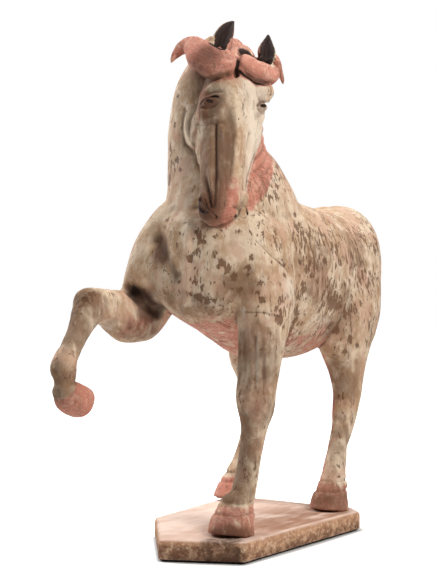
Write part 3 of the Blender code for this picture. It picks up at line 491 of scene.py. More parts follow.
# Dark red-brown soiling with painted shade in the body's deep and shaded places: beside the raised
# foreleg, in the chest's hollow, at the elbow, down the standing foreleg and at the hooves; in the
# same form
UMBER_PATCHES = [
    ((-55, -104, 231), (15, 24, 18), 0.9), ((-59, -112, 246), (17, 16, 15), 0.85),
    ((-91, -200, 222), (8, 20, 28), 0.5), ((-60, -108, 212), (22, 36, 20), 0.62),
    ((-66, -118, 248), (18, 12, 10), 0.6), ((-36, -107, 298), (13, 18, 24), 0.85),
    ((-62, -124, 206), (16, 24, 10), 0.5), ((64, -124, 5), (28, 28, 11), 0.6),
    ((62, -120, 17), (28, 28, 16), 0.42), ((64, 84, 205), (14, 14, 20), 0.5),
    ((60, 80, 14), (26, 22, 12), 0.4), ((-76, -232, 142), (16, 20, 10), 0.3),
    ((57, -112, 39), (26, 26, 12), 0.35), ((75.5, -78, 176), (3.0, 5, 34), 0.6),
    ((57, -82, 90), (20, 26, 40), 0.35),
]
# Places painted paler, in the same form: highlights on the ridges beside a groove down the standing
# foreleg, and pale patches low on the barrel and on the left shoulder
PALE_AND_LIT_PATCHES = [
    ((70.5, -82, 178), (2.6, 4, 36), 0.9), ((66, 62, 221), (16, 24, 13), 0.5),
    ((83, -42, 256), (12, 18, 16), 0.6), ((81, -71, 178), (2.8, 4, 34), 0.7),
    ((66, -86, 104), (3, 5, 34), 0.5),
]
# Traces of red at the raised leg's elbow and on the standing foreleg's knee, in the same form
BODY_RED = [((-60, -106, 212), (22, 38, 20), 0.45), ((70, -86, 130), (6, 10, 14), 0.3)]
# Dirt and painted shade on the head: dirt that also darkens the face's shaded right side, the
# muzzle and the forelock as painted shade, dark red-brown soiling that does the same, and traces
# of red; in the same form and in the head's own directions
HEAD_DIRT_AND_SHADE = [
    ((-13, -8, 136), (15, 24, 20), 0.95), ((-25, -10, 24), (15, 22, 17), 0.55),
    ((-18, -8, 84), (13, 26, 46), 0.62), ((-2, -2, 76), (9, 14, 46), 0.95),
    ((-22, -6, -8), (18, 16, 6), 0.5), ((31, -14, 15), (9, 14, 10), 0.5),
    ((-8, -8, -30), (9, 24, 14), 0.45),
]
HEAD_UMBER = [
    ((-15, -8, 138), (15, 26, 20), 0.9), ((-8, -6, 122), (8, 20, 34), 0.6),
    ((26, -12, 138), (8, 14, 8), 0.75), ((-34, -14, -24), (22, 34, 28), 0.8),
    ((-3, -2, 78), (8, 12, 44), 0.45), ((-26, -12, 22), (12, 18, 10), 0.72),
    ((-15, -6, -14), (12, 24, 9), 0.4), ((-14, -6, -29), (11, 24, 9), 0.42),
    ((-11, -4, 82), (4, 14, 40), 0.4), ((-22, -10, 34), (17, 22, 30), 0.38),
]
HEAD_RED = [((-31, -18, 24), (13, 24, 36), 0.45), ((-26, -14, 70), (10, 22, 30), 0.36)]
# Where the face's dirt and painted shade end, and its clean slip and painted light begin:
# distances down the head, and how far to its left each line lies there
FACE_LINE_DOWN = (8, 30, 52, 98, 120)
DIRT_AND_SHADE_LINE = (-4, 2, 6, 8, 10)
CLEAN_AND_LIT_LINE = (-2, 6, 11, 14, 16)
# Painted shade in the deep gaps on the head, round the locks and ears and in the eyes, nostrils and
# mouth: a path and a half width; a distance toward the front counts for less
GAP_FRONT_SHARE = 0.15
DEEP_GAPS = [
    ([(-1, 3, -46), (-2, 3, -30), (-2.5, 2, -20), (0, 0, -12)], 2.2),
    ([(1, -1, -16), (9, -2, -11.5), (20, -3, -8.5), (30, -5, -9)], 1.5),
    ([(5, -20, -53), (12, -22, -50), (19, -22, -44)], 6.4),
    ([(-34, -9, -49), (-29, -6, -43.5), (-22, -5, -39.5), (-16, -6, -42)], 1.2),
    ([(-23.4, -14, 130), (-23.2, -14, 136), (-19.3, -14, 143), (-14, -14, 147.5)], 1.5),
    ([(17, -12, 143), (21.5, -12, 139.5), (26, -12, 141), (29.5, -12, 139)], 1.7),
    ([(-18.4, -9, 133.5), (-13, -9, 143.8), (-3.7, -9, 150.6)], 0.9),
    ([(-14, -8, 132), (-10.4, -8, 140), (-6, -8, 145)], 0.8),
    ([(-35, -14, 21), (-30, -9, 16), (-24, -7, 14.5), (-18, -5, 16.5)], 0.9),
    ([(26.9, -20, 121), (29.5, -20, 130), (30.5, -20, 135.7)], 1.4),
    ([(-28.5, -6, 21.5), (-26, -6, 22), (-24.5, -6, 22)], 2.4),
    ([(31, -10, 14), (32.5, -10, 14), (34, -12, 13.5)], 2.4),
]
# Painted shade in deep gaps on the body, beside the raised foreleg, under the chest and down the
# standing foreleg: a path, a half width and a strength
BODY_GAPS = [
    ([(-71, -113, 254), (-63, -114, 248), (-57, -111, 243), (-54, -103, 236), (-53, -88, 230)], 10.5, 0.8),
    ([(-54, -96, 231), (-38, -80, 226), (-9, -84, 220), (14, -82, 219)], 1.2, 1.0),
    ([(58, -88, 206), (59, -88, 188), (60, -88, 172)], 0.9, 0.8),
    ([(74, -84, 212), (75, -83, 190)], 0.8, 0.8),
]
# Places along each gap's smoothed path
GAP_STEPS = 24
# The bare clay of an ear starts this share of the way from its foot to its tip
EAR_BARE_FROM = 0.2

# Unevenness of the horse's surface, in parts: the strands of the locks, slow swells, upright tool
# strokes, and pits where the slip has come off
STRAND_PITCH = 4.6
STRAND_DEPTH = 0.28
SWELL_SIZE = 22
SWELL_DEPTH = 0.35
TOOL_SIZE = 5
TOOL_DEPTH = 0.16
TOOL_STRETCH = (1, 1, 0.35)
PIT_SIZE = 6
PIT_DEPTH = 0.45
PIT_TEARING = 0.35
# How far round a hollow is looked for, in rounds of relaxing, and how deep a full one is, in parts
CREASE_ROUNDS = 5
CREASE_DEPTH = 0.35
DIP_ROUNDS = 50
DIP_DEPTH = 2.2
# Random numbers along each side of the noise's lattice
LATTICE = 64

# The slab's mesh: points round it, rounding of its corners, and steps from a face's middle to its rim
SLAB_POINTS = 900
SLAB_ROUNDING = 4
SLAB_STEPS = 33
# The slab's side from the underside up: inset in metres, height as a share of the thickness
SLAB_SIDE = [
    (0.0060, 0.0), (0.0044, 0.0), (0.0038, 0.03), (0.0020, 0.07), (0.0002, 0.12), (0.0, 0.20),
    (0.0, 0.27), (0.0, 0.34), (0.0, 0.42), (0.0, 0.50), (0.0, 0.58), (0.0, 0.66), (0.0, 0.74),
    (0.0002, 0.82), (0.0005, 0.89), (0.0011, 0.95), (0.0021, 0.99), (0.0035, 1.0), (0.0052, 1.0),
]
# The slab's surface, in metres: gouges and crumbs of its cut side, nicks and wear of its rim, and
# the unevenness of its top
GOUGE_SIZE = 0.016
GOUGE_DEPTH = 0.0011
CRUMB_SIZE = 0.0042
CRUMB_DEPTH = 0.0006
RIM_WIDTH = 0.006
RIM_WEAR = 0.0006
NICK_SIZE = 0.013
NICK_DEPTH = 0.0022
TOP_SIZE = 0.03
TOP_DEPTH = 0.00022
# The dark crumbling place under the left fore hoof: its middle on the slab's side and its reach
UNDER_HOOF = (0.067, -0.143, 0.014)
UNDER_HOOF_REACH = (0.025, 0.024, 0.022)

# The floor: points round it, rounding of its corners, and in metres how far its rings lie from the
# slab's outline and how far it lies below
FLOOR_POINTS = 300
FLOOR_ROUNDING = 5
FLOOR_REACHES = (-0.05, -0.004, 0.001, 0.004, 0.008, 0.014, 0.03, 0.1, 0.5, 2.0, 12.0)
FLOOR_DROP = 0.0004

# Soft lights: the place they all face, then for each its metres to the viewer's right, away and up,
# size in metres, watts and colour
LIGHT_AIM = (0, 0, 0.3)
WHITE = (1.0, 1.0, 1.0)
LIGHTS = {
    "key": (0.95, -1.15, 1.45, 0.7, 27, (1.0, 0.96, 0.91)),
    "right_back": (1.4, 0.9, 1.6, 0.8, 10, WHITE),
    "left_rim": (-1.5, 0.9, 1.1, 0.9, 30, WHITE),
    "overhead": (-0.1, 0.4, 2.1, 1.0, 22, WHITE),
}


def smooth_rows(rows, count):
    """Rows read off a monotone cubic through the stations, evenly spaced along their path."""
    rows = np.asarray(rows, float)
    gaps = np.linalg.norm(np.diff(rows[:, :3], axis=0), axis=1)
    at = np.concatenate([[0.0], np.cumsum(gaps)])
    rise = np.diff(rows, axis=0) / gaps[:, None]
    product = rise[:-1] * rise[1:]
    total = rise[:-1] + rise[1:]
    safe = np.where(product > 0, total, 1.0)
    slope = np.vstack([rise[:1], np.where(product > 0, 2 * product / safe, 0.0), rise[-1:]])
    wanted = np.linspace(0.0, at[-1], count)
    span = np.clip(np.searchsorted(at, wanted, side="right") - 1, 0, len(gaps) - 1)
    width = gaps[span][:, None]
    t = ((wanted - at[span]) / gaps[span])[:, None]
    return (
        (1 + 2 * t) * (1 - t) ** 2 * rows[span]
        + t * (1 - t) ** 2 * width * slope[span]
        + t * t * (3 - 2 * t) * rows[span + 1]
        + t * t * (t - 1) * width * slope[span + 1]
    )


def head_turning():
    """The turning matrix that carries the head's own directions to the horse's."""
    tuck, lean, turn = -HEAD_TUCK, HEAD_LEAN, HEAD_TURN
    about_x = np.array(
        [[1, 0, 0], [0, math.cos(tuck), -math.sin(tuck)], [0, math.sin(tuck), math.cos(tuck)]]
    )
    about_y = np.array(
        [[math.cos(lean), 0, math.sin(lean)], [0, 1, 0], [-math.sin(lean), 0, math.cos(lean)]]
    )
    about_z = np.array(
        [[math.cos(turn), -math.sin(turn), 0], [math.sin(turn), math.cos(turn), 0], [0, 0, 1]]
    )
    return about_z @ about_y @ about_x


HEAD_MATRIX = head_turning()
HEAD_LEFT = HEAD_MATRIX @ (1, 0, 0)
HEAD_OUT = HEAD_MATRIX @ (0, -1, 0)


def on_head(points):
    """Places given toward the head's left, out of its face and down its length, as places on the horse."""
    own = np.asarray(points, float) * (1, -1, -1)
    return own @ HEAD_MATRIX.T + HEAD_PLACE


def on_head_stations(stations):
    stations = np.asarray(stations, float)
    return np.hstack([on_head(stations[:, :3]), stations[:, 3:]])


def square_to(along, hint):
    """The part of a direction that is square to each tangent, at unit length."""
    hint = np.asarray(hint, float)
    square = hint - (along @ hint)[:, None] * along
    return square / np.linalg.norm(square, axis=1)[:, None]


def grid_faces(rings, around):
    """Faces of a tube of rings, with both ends capped."""
    faces = [
        (r * around + k, r * around + (k + 1) % around,
         (r + 1) * around + (k + 1) % around, (r + 1) * around + k)
        for r in range(rings - 1)
        for k in range(around)
    ]
    faces.append(tuple(range(around))[::-1])
    faces.append(tuple((rings - 1) * around + k for k in range(around)))
    return faces


def ball(middle, reaches, rings=14, around=20):
    """A rounded mass on the head, closed at both poles by small caps."""
    polar = np.linspace(0.06, np.pi - 0.06, rings)[:, None]
    angle = np.linspace(0, 2 * np.pi, around, endpoint=False)[None]
    unit = np.stack(
        [np.sin(polar) * np.cos(angle), np.sin(polar) * np.sin(angle), np.cos(polar) + 0 * angle],
        axis=-1,
    )
    points = on_head(np.asarray(middle) + unit.reshape(-1, 3) * np.asarray(reaches))
    return points, grid_faces(rings, around)


def smooth_step(low, high, value):
    """0 below low, 1 above high, and an easy curve between."""
    t = np.clip((value - low) / (high - low), 0, 1)
    return t * t * (3 - 2 * t)


def mane_angles(height):
    """Rear and front edge of the mane at each height, as angles round the neck from its left."""
    share = np.clip((MANE_TOP - height) / (MANE_TOP - MANE_TIP), 0, 1)
    rear = MANE_REAR_TOP + (MANE_REAR_TIP - MANE_REAR_TOP) * share**MANE_REAR_POWER
    fore = MANE_FORE_TOP + (MANE_FORE_TIP - MANE_FORE_TOP) * share**MANE_FORE_POWER
    return np.radians(rear), np.radians(fore)


def clear_of_head(points):
    """Where a place lies behind the head or beside it. The half width follows the head down."""
    own = on_own_head(points)
    half = np.interp(own[:, 2], HEAD_DOWN, HEAD_HALF_WIDTH)
    return (own[:, 1] < HEAD_BACK) | (np.abs(own[:, 0]) > half)


def mane_patch(rings=30, across=14):
    """The mane: a thick skin laid on the left of the neck. Each ring follows the neck's section
    from the crest round to a front edge that moves forward as the mane comes down, and its
    thickness falls away to nothing at both edges."""
    rows = smooth_rows(NECK, 80)
    height = np.linspace(MANE_TOP, MANE_TIP, rings)
    rows = np.stack([np.interp(height, rows[:, 2], rows[:, k]) for k in range(6)], axis=1)
    share = np.linspace(0, 1, rings)[:, None]
    rear, fore = mane_angles(height[:, None])
    angle = rear + (fore - rear) * np.linspace(0, 1, across)[None]
    swell = np.sin(np.linspace(0, np.pi, across))[None] ** 0.45
    ends = np.clip(np.minimum(share, 1 - share) * 6, 0, 1) ** 0.6
    out = MANE_THICKNESS * swell * ends
    skins = []
    for offset in (out, -MANE_ROOT - 0 * out):
        wide = rows[:, 3:4] + offset
        deep = np.where(np.sin(angle) > 0, rows[:, 4:5], rows[:, 5:6]) + offset
        skins.append(
            np.stack(
                [
                    rows[:, 0:1] + wide * np.cos(angle),
                    rows[:, 1:2] - deep * np.sin(angle),
                    rows[:, 2:3] + 0 * angle,
                ],
                axis=-1,
            )
        )
    rings_closed = np.concatenate([skins[0], skins[1][:, ::-1]], axis=1)
    return rings_closed.reshape(-1, 3), grid_faces(rings, 2 * across)


def distance_to_path(points, path):
    """Distance from each point to a polyline."""
    path = np.asarray(path, float)
    nearest = np.full(len(points), np.inf)
    for start, end in zip(path[:-1], path[1:]):
        run = end - start
        share = np.clip((points - start) @ run / (run @ run), 0, 1)
        gap = np.linalg.norm(points - start - share[:, None] * run, axis=1)
        nearest = np.minimum(nearest, gap)
    return nearest


def mark_depth(points, path, width, cut, front_share=1.0):
    """Depth of one mark at each point: a smooth curve through its path, deepest on the curve, and
    half as deep at 0.83 of its half width. Distances along y count by their share."""
    counted = (1, front_share, 1)
    curve = smooth_rows(np.asarray(path) * counted, 4 * len(path))
    places = points * counted
    reach = 3 * width
    near = np.all((places > curve.min(axis=0) - reach) & (places < curve.max(axis=0) + reach), axis=1)
    depth = np.zeros(len(points))
    depth[near] = cut * np.exp(-((distance_to_path(places[near], curve) / width) ** 2))
    return depth


def ear_place(points, stations):
    """For each point near an ear, its distance from the ear's middle line, seen from the front and
    as a share of the ear's half width there, and the ear's reach to the front, 0 away from it."""
    rows = smooth_rows(on_head_stations(stations[1:]), 30)
    nearest = np.full(len(points), np.inf)
    spread = np.full(len(points), np.inf)
    reach = np.zeros(len(points))
    for row in rows:
        offset = (points - row[:3]) @ HEAD_MATRIX
        gap = np.linalg.norm(offset, axis=1)
        nearer = gap < nearest
        nearest = np.where(nearer, gap, nearest)
        spread = np.where(nearer, np.hypot(offset[:, 0], offset[:, 2]) / row[3], spread)
        reach = np.where(nearer, row[4], reach)
    return spread, np.where(nearest < 1.2 * reach + 3, reach, 0.0)


def add_object(name, data):
    """An object with this data, linked into the scene."""
    made = bpy.data.objects.new(name, data)
    bpy.context.scene.collection.objects.link(made)
    return made


def face_outward(mesh, cut_caps=False):
    """Turns the faces of a closed mesh outward. Caps with many corners may be cut up first."""
    turned = bmesh.new()
    turned.from_mesh(mesh)
    if cut_caps:
        bmesh.ops.triangulate(turned, faces=[face for face in turned.faces if len(face.verts) > 4])
    bmesh.ops.recalc_face_normals(turned, faces=turned.faces)
    turned.to_mesh(mesh)
    turned.free()


def join_skins(name, skins):
    """One mesh object in metres that holds every skin, each with its faces outward."""
    points = np.concatenate([skin[0] for skin in skins]) * PART
    points[:, 2] += SLAB_THICKNESS + SEAT_GAP
    faces = []
    start = 0
    for skin_points, skin_faces in skins:
        faces += [tuple(start + k for k in face) for face in skin_faces]
        start += len(skin_points)
    mesh = bpy.data.meshes.new(name)
    mesh.from_pydata(points.tolist(), [], faces)
    face_outward(mesh)
    return add_object(name, mesh)


def settle(obj):
    """Turns the object's modifiers into its mesh."""
    bpy.context.view_layer.update()
    graph = bpy.context.evaluated_depsgraph_get()
    mesh = bpy.data.meshes.new_from_object(obj.evaluated_get(graph))
    obj.modifiers.clear()
    old = obj.data
    obj.data = mesh
    bpy.data.meshes.remove(old)


def mesh_arrays(mesh):
    """Vertex places in parts, and vertex normals."""
    points = np.empty(len(mesh.vertices) * 3, np.float32)
    mesh.vertices.foreach_get("co", points)
    normals = np.empty(len(mesh.vertices) * 3, np.float32)
    mesh.vertices.foreach_get("normal", normals)
    points = points.reshape(-1, 3).astype(float)
    points[:, 2] -= SLAB_THICKNESS + SEAT_GAP
    return points / PART, normals.reshape(-1, 3).astype(float)


def store_points(mesh, points):
    """Puts places in parts back into the mesh, in metres."""
    placed = points * PART
    placed[:, 2] += SLAB_THICKNESS + SEAT_GAP
    mesh.vertices.foreach_set("co", placed.astype(np.float32).ravel())
    mesh.update()


def forelock_bands():
    """The bands of hair over the brow, each with the way that it faces."""
    brow = HEAD_MATRIX @ (0, -1, 0.35)
    return [
        (on_head_stations(RIGHT_LOCK), brow - 0.45 * HEAD_LEFT),
        (on_head_stations(LEFT_LOCK), brow + 0.45 * HEAD_LEFT),
        (on_head_stations(LEFT_FLICK), brow + 0.8 * HEAD_LEFT),
    ]


def horse_skins():
    """Every rounded form of the horse, overlapping its neighbours."""
    skins = [
        tube(TRUNK, rings=70, around=48),
        tube(NECK, rings=50, around=40, squareness=2.15),
        tube(on_head_stations(HEAD), side=-HEAD_LEFT, rings=70, around=48, squareness=1.8, flat=0.9),
        tube(on_head_stations(RIGHT_EAR), side=HEAD_LEFT, around=20),
        tube(on_head_stations(LEFT_EAR), side=HEAD_LEFT, around=20),
        mane_patch(),
        tube(TAIL, rings=40, around=20),
    ]
    for stations, facing in forelock_bands():
        skins.append(tube(stations, facing=facing, around=24, squareness=3.0))
    for middle, reaches in HEAD_MASSES:
        skins.append(ball(middle, reaches))
    for stations in (RAISED_UPPER_ARM, RAISED_FOREARM, RAISED_CANNON, RAISED_HOOF):
        skins.append(tube(stations, rings=70))
    for stations, hoof in (
        (LEFT_FORELEG, LEFT_FORE), (LEFT_HINDLEG, LEFT_HIND), (RIGHT_HINDLEG, RIGHT_HIND)
    ):
        placed = np.asarray(stations, float) + (*hoof, 0, 0, 0, 0)
        skins.append(tube(placed, rings=70))
    return skins


def on_own_head(points):
    """Places on the horse as places toward the head's left, out of its face and down its length."""
    return (points - HEAD_PLACE) @ HEAD_MATRIX * (1, -1, -1)


def relax(points, edges, weight, rounds):
    """Draws each point toward the middle of its neighbours, by its weight."""
    starts = np.concatenate([edges[:, 0], edges[:, 1]])
    ends = np.concatenate([edges[:, 1], edges[:, 0]])
    count = np.bincount(starts, minlength=len(points))[:, None]
    for _ in range(rounds):
        total = np.stack(
            [np.bincount(starts, points[ends, axis], len(points)) for axis in range(3)], axis=1
        )
        points = points + 0.5 * weight[:, None] * (total / count - points)
    return points


def body_share(points):
    """1 on the barrel, chest, shoulders and haunches, 0 on the head, the upper neck and the legs."""
    own = on_own_head(points)
    head = (np.abs(own[:, 0]) < 34) & (own[:, 1] > HEAD_BACK) & (own[:, 2] < 164)
    height = points[:, 2]
    body = smooth_step(215, 255, height) * (1 - smooth_step(392, 425, height))
    return np.where(head, 0.0, body) * (1 - smooth_step(246, 254, points[:, 1]))


def carve(points, normals):
    """Moves the surface where the clay was cut, pressed or built up. Places are in parts."""
    own = on_own_head(points)
    depth = np.zeros(len(points))
    for mark in HEAD_MARKS:
        depth += mark_depth(own, *mark, MARK_FRONT_SHARE)
    for mark in BODY_MARKS:
        depth += mark_depth(points, *mark)
    facing = smooth_step(0.05, 0.45, normals @ HEAD_OUT)
    for ear in (RIGHT_EAR, LEFT_EAR):
        spread, reach = ear_place(points, ear)
        hollow = np.clip(1 - (spread / EAR_CUP_WIDTH) ** 2, 0, 1) ** 0.6
        depth += EAR_CUP_DEPTH * reach * hollow * facing
    for hoof in (LEFT_FORE, LEFT_HIND, RIGHT_HIND):
        near = np.linalg.norm(points[:, :2] - hoof, axis=1) < CORONET_REACH
        for height in CORONET_CUTS:
            ring = (points[:, 2] - height) / CORONET_WIDTH
            depth += CORONET_DEPTH * near * np.exp(-(ring**2))
    depth += mane_strokes(points)
    return points - normals * depth[:, None]


def slab_outline():
    """Corners of the slab in metres, from where the hooves stand: the corner under the raised
    foreleg is cut off, and the corner behind the left hind hoof is chipped."""
    left_fore, left_hind, right_hind = (
        np.array(hoof) * PART for hoof in (LEFT_FORE, LEFT_HIND, RIGHT_HIND)
    )
    front = left_fore + (SLAB_LEFT_MARGIN, -SLAB_FRONT_MARGIN)
    point = front + (-SLAB_FRONT_LENGTH, -SLAB_FRONT_SKEW)
    back_left = left_hind + (SLAB_LEFT_MARGIN, SLAB_BACK_MARGIN)
    back_right = right_hind + (-SLAB_RIGHT_MARGIN, SLAB_BACK_MARGIN)
    side = back_right + (SLAB_RIGHT_SKEW, -SLAB_RIGHT_LENGTH)
    return [
        front,
        back_left + (0, -SLAB_CHIP),
        back_left + (-SLAB_CHIP, 0),
        back_right,
        side,
        point,
    ]


def sections(stations, side, facing, rings):
    """Rows along a path, with the directions across and to the front of each section."""
    rows = smooth_rows(stations, rings)
    along = np.gradient(rows[:, :3], axis=0)
    along /= np.linalg.norm(along, axis=1)[:, None]
    if facing is None:
        across = square_to(along, side)
        return rows, across, np.cross(across, along)
    front = square_to(along, facing)
    return rows, np.cross(along, front), front


def tube(stations, side=(1, 0, 0), facing=None, rings=90, around=56, squareness=2.3, flat=1.0):
    """A closed skin through rounded sections square to the stations' path. At angle t a section
    reaches half width * cos(t) to the side and reach * sin(t) to the front or the back, each sine
    and cosine raised to 2 / squareness, and a share flat of the front reach cuts it off level. A
    band takes its facing, and its side follows from it."""
    rows, across, front = sections(stations, side, facing, rings)
    angle = np.linspace(0, 2 * np.pi, around, endpoint=False)
    power = 2 / squareness
    cosine = np.sign(np.cos(angle)) * np.abs(np.cos(angle)) ** power
    sine = np.minimum(np.sign(np.sin(angle)) * np.abs(np.sin(angle)) ** power, flat)
    reach = np.where(sine > 0, rows[:, 4:5], rows[:, 5:6]) * sine
    points = (
        rows[:, None, :3]
        + across[:, None] * (rows[:, 3:4] * cosine)[..., None]
        + front[:, None] * reach[..., None]
    )
    return points.reshape(-1, 3), grid_faces(rings, around)


def near_band(points, stations, side=None, facing=None, rings=36):
    """For each point, its distance from a band's middle line as a share of the band's size there,
    and how far across the band it is, both taken at the section where that share is least."""
    rows, across, front = sections(stations, side, facing, rings)
    spacing = 2.5 * np.linalg.norm(np.diff(rows[:, :3], axis=0), axis=1).max()
    best = np.full(len(points), np.inf)
    place = np.zeros(len(points))
    for row, left, ahead in zip(rows, across, front):
        offset = points - row[:3]
        u = offset @ left
        v = offset @ ahead
        w = offset @ np.cross(left, ahead)
        reach = np.where(v > 0, row[4], row[5])
        size = np.sqrt((u / row[3]) ** 2 + (v / reach) ** 2 + (w / spacing) ** 2)
        nearer = size < best
        place = np.where(nearer, u, place)
        best = np.where(nearer, size, best)
    return best, place


def lattice_noise(points, size, seed):
    """Smooth noise from -1 to 1: random numbers on a lattice of this size, blended along each axis
    by a curve that is level at both ends."""
    table = np.random.default_rng(seed).uniform(-1, 1, (LATTICE, LATTICE, LATTICE))
    scaled = points / size
    low = np.floor(scaled).astype(int)
    t = scaled - low
    t = t * t * (3 - 2 * t)
    total = np.zeros(len(points))
    for corner in np.ndindex(2, 2, 2):
        weight = np.prod(np.where(corner, t, 1 - t), axis=1)
        cell = (low + corner) % LATTICE
        total += weight * table[cell[:, 0], cell[:, 1], cell[:, 2]]
    return total


def layered_noise(points, size, seed, layers=3):
    """Lattice noise with ever finer and fainter layers added, each half the size and strength."""
    return sum(
        lattice_noise(points, size / 2**layer, seed + layer) / 2**layer for layer in range(layers)
    )


def on_mane(points):
    """1 on the mane, falling to 0 at its edges, and the angle of each point round the neck."""
    rows = smooth_rows(NECK, 80)
    middle = [np.interp(points[:, 2], rows[:, 2], rows[:, k]) for k in range(5)]
    side = (points[:, 0] - middle[0]) / middle[3]
    front = -(points[:, 1] - middle[1]) / middle[4]
    angle = np.arctan2(front, side)
    rear, fore = mane_angles(points[:, 2])
    inside = smooth_step(rear, rear + 0.15, angle) * (1 - smooth_step(fore - 0.12, fore, angle))
    inside *= (points[:, 2] > MANE_TIP) & (points[:, 2] < MANE_TOP) & (np.hypot(side, front) < 1.35)
    return inside * clear_of_head(points), angle


def mane_strokes(points):
    """Depth of the slanting comb strokes over the mane: a wave across the strokes, uneven in depth
    and wandering a little."""
    inside, angle = on_mane(points)
    slant = (points[:, 2] + STROKE_SLANT * angle) * 2 * np.pi / STROKE_PITCH
    uneven = 0.6 + 0.5 * lattice_noise(points, 16, seed=91)
    wave = np.sin(slant + lattice_noise(points, 30, seed=92))
    return inside * uneven * (STROKE_DEPTH * wave)


def lock_strands(points):
    """Depth of the strands along each lock of the forelock, a wave across the band."""
    depth = np.zeros(len(points))
    for stations, facing in forelock_bands():
        share, across = near_band(points, stations, facing=facing)
        wave = np.abs(np.sin(np.pi * across / STRAND_PITCH)) ** 0.6 - 0.6
        depth -= STRAND_DEPTH * wave * (1 - smooth_step(1.15, 1.4, share))
    return depth


def fine_carve(points, normals):
    """Wrinkles, lids and scored lines, the strands of the locks, tool strokes down the limbs, and
    the unevenness of hand-finished clay with pits where the slip has come off."""
    own = on_own_head(points)
    depth = lock_strands(points)
    for mark in FINE_HEAD_MARKS:
        depth += mark_depth(own, *mark, MARK_FRONT_SHARE)
    for mark in FINE_BODY_MARKS:
        depth += mark_depth(points, *mark)
    depth += SWELL_DEPTH * layered_noise(points, SWELL_SIZE, seed=11)
    depth += TOOL_DEPTH * layered_noise(points * TOOL_STRETCH, TOOL_SIZE, seed=21)
    torn = worn_share(points) + PIT_TEARING * layered_noise(points, PIT_SIZE, seed=31)
    depth += PIT_DEPTH * smooth_step(0.3, 0.6, torn)
    return points - normals * depth[:, None]


def worn_share(points):
    """Highest of the rounded patches at each point: 1 at a patch's middle, half at its radius."""
    share = np.zeros(len(points))
    for middle, radius in WORN_PATCHES:
        gap = np.linalg.norm(points - middle, axis=1) / radius
        share = np.maximum(share, np.exp(-0.7 * gap**2))
    return share


def mesh_edges(mesh):
    edges = np.empty(2 * len(mesh.edges), np.int32)
    mesh.edges.foreach_get("vertices", edges)
    return edges.reshape(-1, 2)


def store_fields(mesh, fields):
    """Keeps numbers from 0 to 1 for each point of the mesh, by name, for the finish to read."""
    for name, values in fields.items():
        kept = mesh.attributes.new(name, "FLOAT", "POINT")
        kept.data.foreach_set("value", np.clip(values, 0, 1).astype(np.float32))


def hollow_share(points, normals, edges, rounds, full):
    """How far a point lies below the middle of its neighbourhood, as a share of a full hollow. The
    neighbourhood grows with the rounds of relaxing. Half means level."""
    smoothed = relax(points, edges, np.ones(len(points)), rounds)
    lift = np.einsum("ij,ij->i", smoothed - points, normals)
    return 0.5 + 0.5 * np.clip(lift / full, -1, 1)


def soft_patches(points, patches):
    """Strength of rounded patches at each point, the strongest one counting."""
    share = np.zeros(len(points))
    for middle, reach, strength in patches:
        gap = np.linalg.norm((points - middle) / reach, axis=1)
        share = np.maximum(share, strength * (1 - smooth_step(PATCH_WHOLE, PATCH_GONE, gap)))
    return share


def red_hair(points, own):
    """Red of the mane and the forelock, left off round the ears, then a fainter red over the poll."""
    red = on_mane(points)[0] ** 0.5
    for stations, facing in forelock_bands():
        share = near_band(points, stations, facing=facing)[0]
        red = np.maximum(red, 1 - smooth_step(1.15, 1.45, share))
    for ear in (RIGHT_EAR, LEFT_EAR):
        spread, reach = ear_place(points, ear)
        red *= 1 - (1 - smooth_step(1.22, 1.42, spread)) * (reach > 0)
    poll = (np.abs(own[:, 0]) < 26) & (own[:, 2] < -44) & (own[:, 1] < -2)
    return np.maximum(red, 0.6 * poll)


def red_underside(points, normals):
    """Red on the belly, fainter on its left, and on the inner faces of the hind legs."""
    trunk = smooth_step(-120, -60, points[:, 1]) * (1 - smooth_step(150, 200, points[:, 1]))
    under = smooth_step(0.25, 0.7, -normals[:, 2]) * smooth_step(165, 190, points[:, 2])
    belly = (0.6 - 0.14 * smooth_step(15, 55, points[:, 0])) * trunk * under
    inner = smooth_step(0.1, 0.6, -normals[:, 0] * np.sign(points[:, 0])) * (points[:, 1] > 60)
    return np.maximum(belly * (points[:, 2] < 250), 0.6 * inner * (points[:, 2] < 230))


def red_hooves(points):
    """Red on the hooves: 1 on the raised one, less on the standing ones, least on the left."""
    standing = 1 - smooth_step(26, 36, points[:, 2])
    raised = near_band(points, np.asarray(RAISED_HOOF, float), side=(1, 0, 0))[0]
    strength = 0.6 + 0.18 * (points[:, 0] < 0)
    return np.maximum(strength * standing, 1 - smooth_step(1.05, 1.3, raised))


def red_muzzle(own):
    """Red on the left of the muzzle, and fainter on the lips."""
    across = smooth_step(-14, 3, own[:, 0]) * smooth_step(19, 15, own[:, 0])
    muzzle = smooth_step(94, 128, own[:, 2]) * across
    lips = smooth_step(136, 146, own[:, 2]) * 0.4
    return 0.75 * muzzle + lips * (1 - muzzle)


def red_share(points, normals, own, face):
    """Where the red earth pigment lies: mane, forelock, poll, belly, hooves and muzzle."""
    red = red_hair(points, own)
    for share in (
        soft_patches(own, HEAD_RED) * face,
        soft_patches(points, BODY_RED),
        red_underside(points, normals),
        red_hooves(points),
        red_muzzle(own) * face,
    ):
        red = np.maximum(red, share)
    return red


def flecked_share(points, normals, face):
    """Where the slip flakes most: the left side of the barrel and rump, then the neck's right side."""
    barrel = smooth_step(-110, -20, points[:, 1]) * smooth_step(0.1, 0.7, normals[:, 0])
    barrel *= smooth_step(150, 220, points[:, 2])
    neck = smooth_step(-0.2, -0.7, normals[:, 0]) * smooth_step(340, 380, points[:, 2])
    return 0.35 * (1 - face) + 0.65 * np.maximum(barrel, 0.5 * neck)


